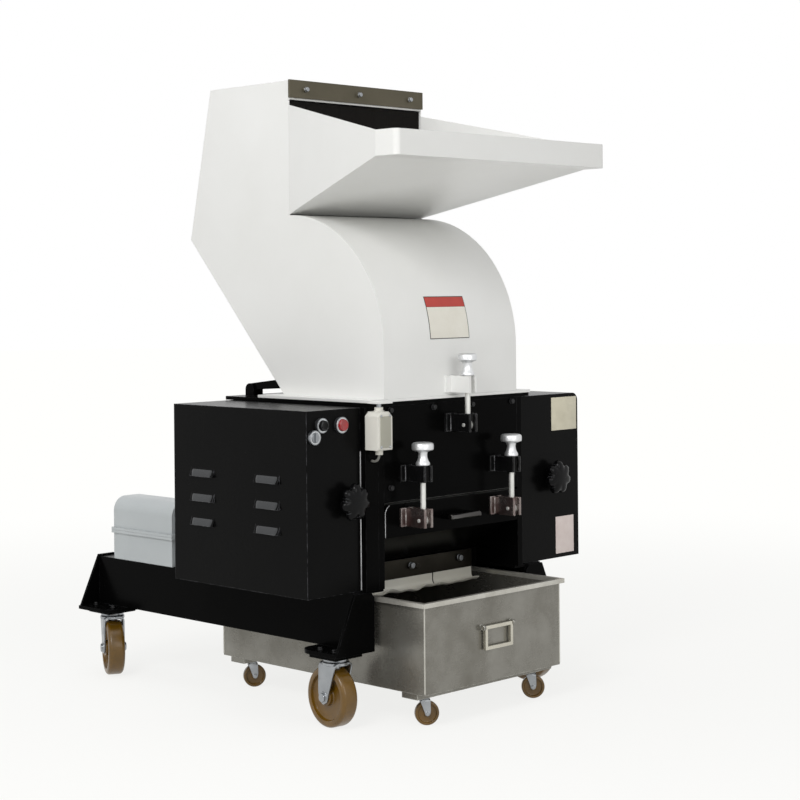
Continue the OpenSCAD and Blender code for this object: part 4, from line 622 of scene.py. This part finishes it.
def tube(path, radius, sides):
    """A circle carried along a path; its frame is the tangent with a side kept square to it."""
    path = np.array(path, float)
    along = np.gradient(path, axis=0)
    along /= np.linalg.norm(along, axis=1)[:, None]
    across = np.cross(along, np.array([0.31, 0.52, 0.79]))
    across /= np.linalg.norm(across, axis=1)[:, None]
    over = np.cross(along, across)
    a = np.linspace(0, 2 * np.pi, sides + 1)[:-1][None, :, None]
    return surface(path[:, None] + radius * (np.cos(a) * across[:, None] + np.sin(a) * over[:, None]))


# A light tube down the cradle plate's left edge and round its corner is a painted highlight; the left door's
# front edge uses this light finish as a painted highlight too.
rub_and_highlight = finish("painted_edge_highlight", "#CFCFD0", "#8E8E90", (0.2, 0.34), metal=0.7, grain=(18.0, 500.0), bump=0.04)
round_off = np.radians(np.linspace(180, 110, 9))
edge_path = [(-206.4, -262.3, z) for z in np.linspace(378.5, 422, 5)]
edge_path += [(-186.6 + 19.8 * c, -262.3, 425 + 19.8 * d) for c, d in zip(np.cos(round_off), np.sin(round_off))]
piece("cradle_edge_painted_highlight", [tube(edge_path, 0.9, 10)], "cradle", rub_and_highlight, "bare_steel")


# ---- Discharge strip and flaps -------------------------------------------------------
# A brown steel strip is bolted under the cradle over the bin.
# Two pale stiff flaps hang under it, curled to the front, and guide the granules into the bin.
strip_steel = finish("strip_steel", "#37342D", "#292620", (0.32, 0.5), metal=0.9, grain=(10, 300),
                     stretch=(0.06, 1, 1), bump=0.04, edge_rub_and_highlight=(0.001, 0.8), rub_and_highlight_colour="#8F8C84")
dress(strip_steel, "discharge_strip")
bolts("strip_bolts", [(x, -156, 291) for x in (-150, -23, 131)], 12, "Y", -1, "cradle")
flap = finish("pale_flap", "#E4E2D8", "#D2CFC1", (0.3, 0.45))


def flap_parts(x0, x1, swing):
    """Flap: straight, then curled to the front on a 13 mm radius; its free end wavers with sin of x."""
    turn = np.radians(np.linspace(0, -150, 26))
    path = np.concatenate([[[-151, 266.0], [-151, 259]],
                           np.stack([-164 + 13 * np.cos(turn), 252 + 13 * np.sin(turn)], 1)])
    along = np.gradient(path, axis=0)
    along /= np.linalg.norm(along, axis=1)[:, None]
    out = np.stack([along[:, 1], -along[:, 0]], 1) * 0.6
    across = np.linspace(x0, x1, 48)
    free = np.linspace(0, 1, len(path)) ** 1.5
    waver = (1.5 * np.sin(across / 21) + 1.1 * np.sin(across / 8.3 + 1))[:, None] * swing
    waver = waver * np.concatenate([free, free[::-1]])
    loop = np.concatenate([path + out, (path - out)[::-1]])
    x = np.repeat(across[:, None], len(loop), 1)
    return surface(np.stack([x, loop[:, 0] + 0.4 * waver, loop[:, 1] + waver], -1))


flaps = piece("discharge_flaps", [flap_parts(-176, 48.5, 1.9), flap_parts(51.5, 176, 0.8)], "cradle", flap,
              "pale_flap", ["apron_flaps"])


# ---- Knobs and swing bolts of the clamps ---------------------------------------------
# Turned aluminium knobs with a domed head and a waist, on bright rods with an eye at the pin.
# The rods are zinc plated and threaded where the knobs run on them.
aluminium = finish("turned_aluminium", "#DEDFE0", "#CFD0D1", (0.34, 0.48), metal=0.8, grain=(20, 700),
                   bump=0.05, edge_rub_and_highlight=(0.0008, 0.5), rub_and_highlight_colour="#EDEEEF")


def knob_part(x, z, head):
    base = [(0, 0.3), (13.6, 0.3), (14.7, 1.4), (14.7, 5.4), (13.6, 7.4), (11.4, 11), (9.6, 17), (9.2, 23),
            (10.4, 28)]
    rim = [(head - 5, 31), (head - 1.6, 32), (head, 34), (head, 43.6), (head - 1.4, 46), (head - 4, 47.4),
           (head - 9, 48), (0, 48)]
    return moved(turned(base + rim, steps=64), (x, -306, z))


for name, x, z, head, body in (("top_clamp_knob", 0, 705, 20.4, "hopper_knob"),
                               ("left_clamp_knob", -139, 525, 22.9, "left_knob"),
                               ("right_clamp_knob", 139, 525, 22.9, "right_knob")):
    piece("turned_" + name, [knob_part(x, z, head)], body, aluminium, "aluminium_knob", [name])


def rod_parts(x, eye, top):
    """Eye bolt: a ring with its pin and nuts, and a rod whose radius ripples with the thread near its top."""
    level = np.linspace(eye, top, 121)
    ripple = 0.25 * np.sin((level - eye) * 2 * np.pi / 2.5) * (level > top - 26)
    rod = turned([(0, level[0])] + [(5.7 + w, h) for w, h in zip(ripple, level)] + [(0, level[-1])], steps=24)
    eye_ring = turned([(0, -6.1), (9, -6.1), (9.9, -5), (9.9, 5), (9, 6.1), (0, 6.1)], "X", 40)
    pin = turned([(0, -14.4), (3.9, -14.4), (3.9, 14.4), (0, 14.4)], "X", 24)
    return [moved(rod, (x, -306, 0)), moved(eye_ring, (x, -306, eye)), moved(pin, (x, -306, eye)),
            hex_head(9, 1.8, "X", (x + 12.6, -306, eye))]


bright_rod = finish("bright_rod", "#E2E2DE", "#CFCFCA", (0.28, 0.4), metal=0.55, grain=(30, 700), bump=0.04)
piece("top_swing_bolt", rod_parts(0, 601, 705), "machine", bright_rod, "zinc_plate", ["top_clamp_rod"])
piece("cradle_swing_bolts", rod_parts(-139, 412, 525) + rod_parts(139, 412, 525), "cradle", bright_rod,
      "zinc_plate", ["cradle_rods"])


# ---- Side doors ----------------------------------------------------------------------
# Two black sheet doors stand over the belts and the flywheel, hinged at the rear.
# The doors' paint is lightened along its edges as a painted highlight, and a light rolled strip on the
# front edge of the left one, beside the bearing box, is a painted highlight.
# The right one carries two blank plates, one cream, one rose.
# The grey edge colour of the door paint is a painted highlight along the doors' edges.
door_black = finish("door_enamel", "#070707", "#0B0B0B", (0.2, 0.34), grain=(3.0, 900.0), bump=0.04,
                    edge_rub_and_highlight=(0.0022, 1.0), rub_and_highlight_colour="#66666A", shine=0.05)
dress(door_black, "belt_guard", "flywheel_guard")
# A light tube on the left door's front edge: a painted highlight.
rolled_edge = tube([(-265.2, -250.7, z) for z in np.linspace(277, 560, 12)], 1.5, 12)
piece("door_edge_painted_highlight", [rolled_edge], "left_door", rub_and_highlight, "satin_black_paint")
bolts("guard_top_bolts", [(300, -60, 648), (380, 40, 648)], 8, "Z", 1, "right_door", black_bolts,
      "satin_black_paint")
plate_cream = finish("blank_plate_cream", "#D8D2BC", "#C9C3AD", (0.35, 0.45), grain=(30, 900), bump=0.01,
                     edge_rub_and_highlight=(0.0004, 0.2))
plate_rose = finish("blank_plate_rose", "#E3D7D2", "#D6C6C1", (0.35, 0.45), grain=(30, 900), bump=0.01,
                    edge_rub_and_highlight=(0.0004, 0.2))
piece("guard_plate_upper", [block((339, -253.6, 565), (428, -252.7, 640), 0.4, 2)], "right_door", plate_cream,
      "grey_cover")
piece("guard_plate_lower", [block((351, -253.6, 284), (415, -252.7, 368), 0.4, 2)], "right_door", plate_rose,
      "grey_cover")


# ---- Louvres of the left door --------------------------------------------------------
# Six louvres are pressed out of the door's sheet, open along their lower edges.
# Their paint is greyer than the door's as painted light on their lit faces, and their crowns carry a light
# painted highlight.
def louvre_parts(y, z):
    """Scoop: stands out by a sine of the way along times a rising curve of the way down, 1.2 mm thick."""
    u, v = np.meshgrid(np.linspace(0, 1, 30), np.linspace(0, 1, 12), indexing="ij")
    span = np.clip(np.sin(np.pi * u) * 3.2, 0, 1) ** 0.6
    out = 5.8 * span * np.sin(np.pi / 2 * v) ** 0.8
    ys = y - 36 + 72 * u
    zs = z + 7 - 16 * v
    outer = np.stack([-413.15 - out, ys, zs], -1)
    inner = np.stack([-412.4 - 0.82 * out, ys, zs], -1)
    return surface(np.concatenate([outer, inner[:, ::-1]], 1))


# The grey base colour is painted light on the lit faces, and the light edge colour is a painted highlight.
louvre_painted_light = finish("louvre_enamel_painted_light", "#242628", "#2E3032", (0.2, 0.32), grain=(6.0, 900.0), bump=0.05,
                      edge_rub_and_highlight=(0.0013, 1.0), rub_and_highlight_colour="#B4B6B8")
louvres = [louvre_parts(y, z) for y in (-132, 73) for z in (508, 456, 405)]
piece("pressed_louvres", louvres, "left_door", louvre_painted_light, "satin_black_paint")


# ---- Star knobs of the doors ---------------------------------------------------------
# Moulded black knobs with seven rounded lobes and a domed face, on a hub with a steel stud.
# The lobes are lightened grey along their crowns as a painted highlight.
# The grey edge colour of this finish is a painted glint on the knob lobes and on the start button's edges.
plastic = finish("black_plastic", "#050506", "#0A0A0B", (0.1, 0.18), bump=0.01, edge_rub_and_highlight=(0.004, 0.9),
                 rub_and_highlight_colour="#6E6F72", coat=0.14, shine=0.06)


def star_parts(x, front, stud_end):
    """Seven round lobes: the outline is the farthest of a core circle and circles of radius 10.4 set
    28.2 mm out; along Y a domed profile scales it and smooths the lobes away towards the middle."""
    a = np.linspace(0, 2 * np.pi, 169)[:-1]
    off = (a + np.pi / 7) % (2 * np.pi / 7) - np.pi / 7
    reach = 10.4 ** 2 - (28.2 * np.sin(off)) ** 2
    lobes = np.maximum(31.2, 28.2 * np.cos(off) + np.sqrt(np.clip(reach, 0, None)))
    depth = np.array([-14, -15.2, -18, -22, -26, -29.5, -32, -33.8, -35.0, -35.7, -36.0])
    share = np.array([0.84, 0.93, 0.985, 1.0, 0.975, 0.91, 0.81, 0.67, 0.5, 0.28, 0.03])
    lobes = lobes + (30.5 - lobes) * np.clip((0.86 - share) / 0.4, 0, 1)[:, None]
    r = lobes * share[:, None]
    y = np.repeat(depth[:, None], len(a), 1)
    star = np.stack([r * np.sin(a), y, r * np.cos(a)], -1)
    hub = turned([(0, -14.5), (13.9, -14.5), (13.9, -3), (12.5, -0.4), (0, -0.4)], "Y", 40)
    stud = turned([(0, -14), (4.9, -14), (4.9, stud_end + front), (0, stud_end + front)], "Y", 24)
    return [moved(part, (x, -front, 461)) for part in (surface(star), hub, stud)]


for name, x, front, stud_end, body in (("left_star_knob", -301, 250, -236.6, "left_star"),
                                       ("right_star_knob", 335, 253, -224.6, "right_star")):
    piece("moulded_" + name, star_parts(x, front, stud_end), body, plastic, "black_plastic", [name])


# ---- Push buttons and selector -------------------------------------------------------
# Chromed bezels with a rounded rim stand on the left door; the start button is black, the stop
# button red. The selector is a turned grey metal head with a raised bar to grip.
dress(zinc, "switch_bezels", "selector")
chrome = finish("bezel_chrome", "#D8DADC", "#C6C8CA", (0.08, 0.16), metal=1.0, bump=0.01, edge_rub_and_highlight=(0.0006, 0.3))
red = finish("red_plastic", "#A01418", "#8C1013", (0.2, 0.3), coat=0.5)
for name, x, z, r in (("start", -375, 619, 10.5), ("stop", -321, 617, 12), ("selector", -395.5, 596, 10)):
    rim = [(r + 0.1, 4), (r + 0.1, -6.9), (r + 0.8, -7.9), (r + 2, -8), (r + 3.4, -7.2), (r + 4.4, -4.8),
           (r + 4.5, 0), (r + 1.9, 0.2), (r + 1.9, 4)]
    rim = moved(turned(rim, "Y", 56, closed=True), (x, -250.3, z))
    piece(name + "_rim", [rim], "left_door", chrome, "zinc_plate")
for name, x, z, r, out, material, slot in (("start", -375, 619, 10.5, 16, plastic, "black_plastic"),
                                           ("stop", -321, 617, 12, 14, red, "red_plastic")):
    cap = [(0, 15), (r - 0.1, 15), (r - 0.1, -out + 2.2), (r - 0.8, 0.7 - out), (r - 2.4, -out),
           (r * 0.5, 0.9 - out), (0, 1.1 - out)]
    cap = moved(turned(cap, "Y", 56), (x, -250, z))
    piece(name + "_cap", [cap], name + "_push", material, slot, [name + "_button"])


# ---- Hopper --------------------------------------------------------------------------
# A white painted sheet hopper with a flared tray tilts back on two black arms.
# A blank plate with a red head is stuck to its curved front.
hopper_paint = finish("hopper_white_paint", "#E9E9E7", "#E2E2DF", (0.32, 0.44), grain=(2.2, 700.0), bump=0.03,
                      edge_rub_and_highlight=(0.0018, 0.35), rub_and_highlight_colour="#C9C8C2")
dress(hopper_paint, "hopper_shell", "feed_tray")


def curved_plate(x0, x1, z0, z1, thick):
    """Plate on the hopper's bend: y = 22 - sqrt(R^2 - (z - 767)^2), for the inner and outer radius R."""
    z = np.linspace(z0, z1, 20)
    inner = 22 - np.sqrt(285.0 ** 2 - np.clip(z - 767, 0, None) ** 2)
    outer = 22 - np.sqrt((285.0 + thick) ** 2 - np.clip(z - 767, 0, None) ** 2)
    loop = np.concatenate([np.stack([inner, z], 1), np.stack([outer, z], 1)[::-1]])
    ends = [np.stack([np.full(len(loop), x), loop[:, 0], loop[:, 1]], -1) for x in (x0, x1)]
    return surface(np.stack(ends))


def plate_paint(name, colour, shade):
    return finish(name, colour, shade, (0.3, 0.4), grain=(20, 900), bump=0.01, edge_rub_and_highlight=(0.0004, 0.2))


for name, colour, shade, x0, x1, z0, z1, thick in (
        ("border", "#26241F", "#302D27", -67.6, 54.6, 783.4, 873.6, 0.4),
        ("field", "#E6E3D9", "#DEDACE", -66, 53, 785, 851, 0.6),
        ("head", "#B8382C", "#A93127", -66, 53, 851.5, 872, 0.6)):
    piece("hopper_plate_" + name, [curved_plate(x0, x1, z0, z1, thick)], "hopper",
          plate_paint("blank_plate_" + name, colour, shade), "hopper_white_paint")


# ---- Clamp bar and rubber curtain ----------------------------------------------------
# A brown steel bar, held by three bolts, clamps a black rubber sheet over the tray's mouth.
# The sheet is slit into eight strips and keeps scrap in the neck.
bar_steel = finish("clamp_bar_steel", "#605A4A", "#4C4738", (0.35, 0.5), metal=0.55)
dress(bar_steel, "curtain_bar")
bolts("clamp_bar_bolts", [(x, 14, 1326.5) for x in (-162, 0, 162)], 9, "Y", -1, "hopper")


def hanging_strip(x0, x1):
    """A thin sheet: y wavers with sin of height and x, and the faces stand half a thickness apart."""
    top, low, y, thick, sway = 1300.5, 1062.5, 27.3, 3.6, 1.1
    u, v = np.meshgrid(np.linspace(0, 1, 28), np.linspace(0, 1, 12), indexing="ij")
    x = x0 + (x1 - x0) * v
    z = top + (low - top) * u
    waver = y + sway * u ** 1.5 * (np.sin(x / 23) + 0.6 * np.sin(z / 47 + x / 61))
    front = np.stack([x, waver - thick / 2, z], -1)
    back = np.stack([x, waver + thick / 2, z], -1)
    return surface(np.concatenate([front, back[:, ::-1]], 1))


slits, half_slit = np.linspace(-203.4, 203.4, 9), 0.3
strips = [hanging_strip(a + half_slit, b - half_slit) for a, b in zip(slits[:-1], slits[1:])]
curtain = piece("curtain_strips", strips, "curtain_flap", rubber, "black_rubber", ["curtain"])


# ---- Safety switch -------------------------------------------------------------------
# A die cast switch on the bearing box, under the tab of the hopper's flange. Its plunger is held
# down while the hopper is shut, and its grey lead runs back into the machine.
cream = finish("cream_switch", "#DEDCD4", "#D2D0C7", (0.35, 0.5))
dress(zinc, "limit_plunger")


def switch_body():
    """Housing: its front view is a tall outline with 9 mm corners cut off above, carried along Y."""
    outline = np.array([(-262, 563), (-220, 563), (-220, 632), (-229, 641), (-253, 641), (-262, 632)], float)
    centre = outline.mean(0)
    rows = [np.stack([ring[:, 0], np.full(6, y), ring[:, 1]], 1)
            for y, ring in ((-262, outline), (-297.5, outline), (-300, centre + (outline - centre) * 0.93))]
    housing = surface(np.stack(rows))
    stem = turned([(0, 640), (11, 640), (11, 643), (8.9, 643.6), (8.9, 649.9), (5.2, 649.9), (5.2, 640.4),
                   (0, 640.4)])
    nut = turned([(0, 553.1), (7.9, 553.1), (7.9, 562), (9, 563.5), (0, 563.5)], steps=24)
    return [housing, moved(stem, (-241, -281, 0)), moved(nut, (-241, -281, 0))]


piece("switch_housing", switch_body(), "machine", cream, "switch_body", ["limit_switch"])
cover_grey = finish("switch_cover_grey", "#A7A598", "#9C9A8D", (0.35, 0.5), edge_rub_and_highlight=(0.0008, 0.6),
                    rub_and_highlight_colour="#C4C2B6")
piece("switch_cover", [block((-256, -301.4, 568), (-226, -299, 632), 1.1)], "machine", cover_grey,
      "switch_body")
screw, screw_faces = turned([(0, 0), (2.6, 0), (2.6, 1.0), (1.6, 1.8), (0, 2.0)], "Y", 20)
cover_screws = [(np.array([x, -301.0, z]) - screw, screw_faces) for x in (-254, -229) for z in (570, 633)]
piece("switch_screws", cover_screws, "machine", zinc, "zinc_plate")
bend = np.linspace(0, np.pi / 2, 14)
lead_path = np.concatenate([
    np.stack([np.full(6, -241.0), np.full(6, -281.0), np.linspace(556, 553.2, 6)], 1)[:-1],
    np.stack([np.full(14, -241.0), -267 - 14 * np.cos(bend), 553 - 14 * np.sin(bend)], 1),
    np.stack([np.full(6, -241.0), np.linspace(-265, -255.2, 6), np.full(6, 539.0)], 1)])
lead_grey = finish("grey_lead_jacket", "#8C8B86", "#72716C", (0.25, 0.4))
lead = piece("switch_lead", [tube(lead_path, 2.6, 16)], "machine", lead_grey, "black_rubber")


# ---- Starter box ---------------------------------------------------------------------
# A box of light grey painted sheet stands on the frame's tail, parted by a seam under its lid.
# The mains cord, left out here, would enter by its gland.
grey_cover = finish("light_grey_cover", "#BDC2C3", "#B2B7B9", (0.3, 0.42))
dress(grey_cover, "starter_box_base", "starter_box_lid")


# ---- Bin -----------------------------------------------------------------------------
# An open stainless bin on its own castors, with a nickel plated drop handle on its front.
# Its rim is folded in. A light frame over the rim, light strips down its corners and its lightened edges are
# painted highlights.
# The light edge colour of the stainless is a painted highlight.
stainless = finish("stainless_sheet", "#8E8C85", "#6E6B63", (0.2, 0.34), metal=0.6, grain=(9.0, 260.0),
                   stretch=(0.4, 0.4, 1), bump=0.012, edge_rub_and_highlight=(0.003, 1.0), rub_and_highlight_colour="#D6D4CC")
dress(stainless, "bin_body")
nickel = finish("nickel_plate", "#CFCBBE", "#B5B1A4", (0.14, 0.26), metal=0.85, edge_rub_and_highlight=(0.0012, 0.8),
                rub_and_highlight_colour="#E6E3D8")
dress(nickel, "bin_handle")


def mitred_frame(x0, x1, y0, y1, width, z0, z1):
    """Frame: a flat section with 0.5 mm corners, carried round four mitred corners."""
    loop = [(0, z0), (width - 0.5, z0), (width, z0 + 0.5), (width, z1 - 0.5), (width - 0.5, z1), (0.5, z1),
            (0, z1 - 0.5)]
    corners = [(x0, y0, 1, 1), (x0, y1, 1, -1), (x1, y1, -1, -1), (x1, y0, -1, 1)]
    rows = [[(x + sx * w, y + sy * w, z) for w, z in loop] for x, y, sx, sy in corners]
    return surface(np.array(rows), closed=True)


# A light frame on the rim and light tubes down the corners are painted highlights.
bin_edge_highlight = finish("painted_rim_highlight", "#C9C7BF", "#B2AFA6", (0.24, 0.38), metal=0.6, grain=(20.0, 500.0),
                     bump=0.05, edge_rub_and_highlight=(0.001, 0.8), rub_and_highlight_colour="#E4E2DB")
rim_hem = mitred_frame(-224.3, 216.3, -388.3, 253.3, 10.5, 249, 258.6)
piece("bin_rim_hem", [rim_hem], "bin", bin_edge_highlight, "stainless_sheet")
corner_highlights = [tube([(x, y, z) for z in np.linspace(76, 249, 9)], 1.7, 10)
         for x in (-215.4, 207.4) for y in (-379.4, 244.4)]
piece("bin_corner_highlights", corner_highlights, "bin", bin_edge_highlight, "stainless_sheet")
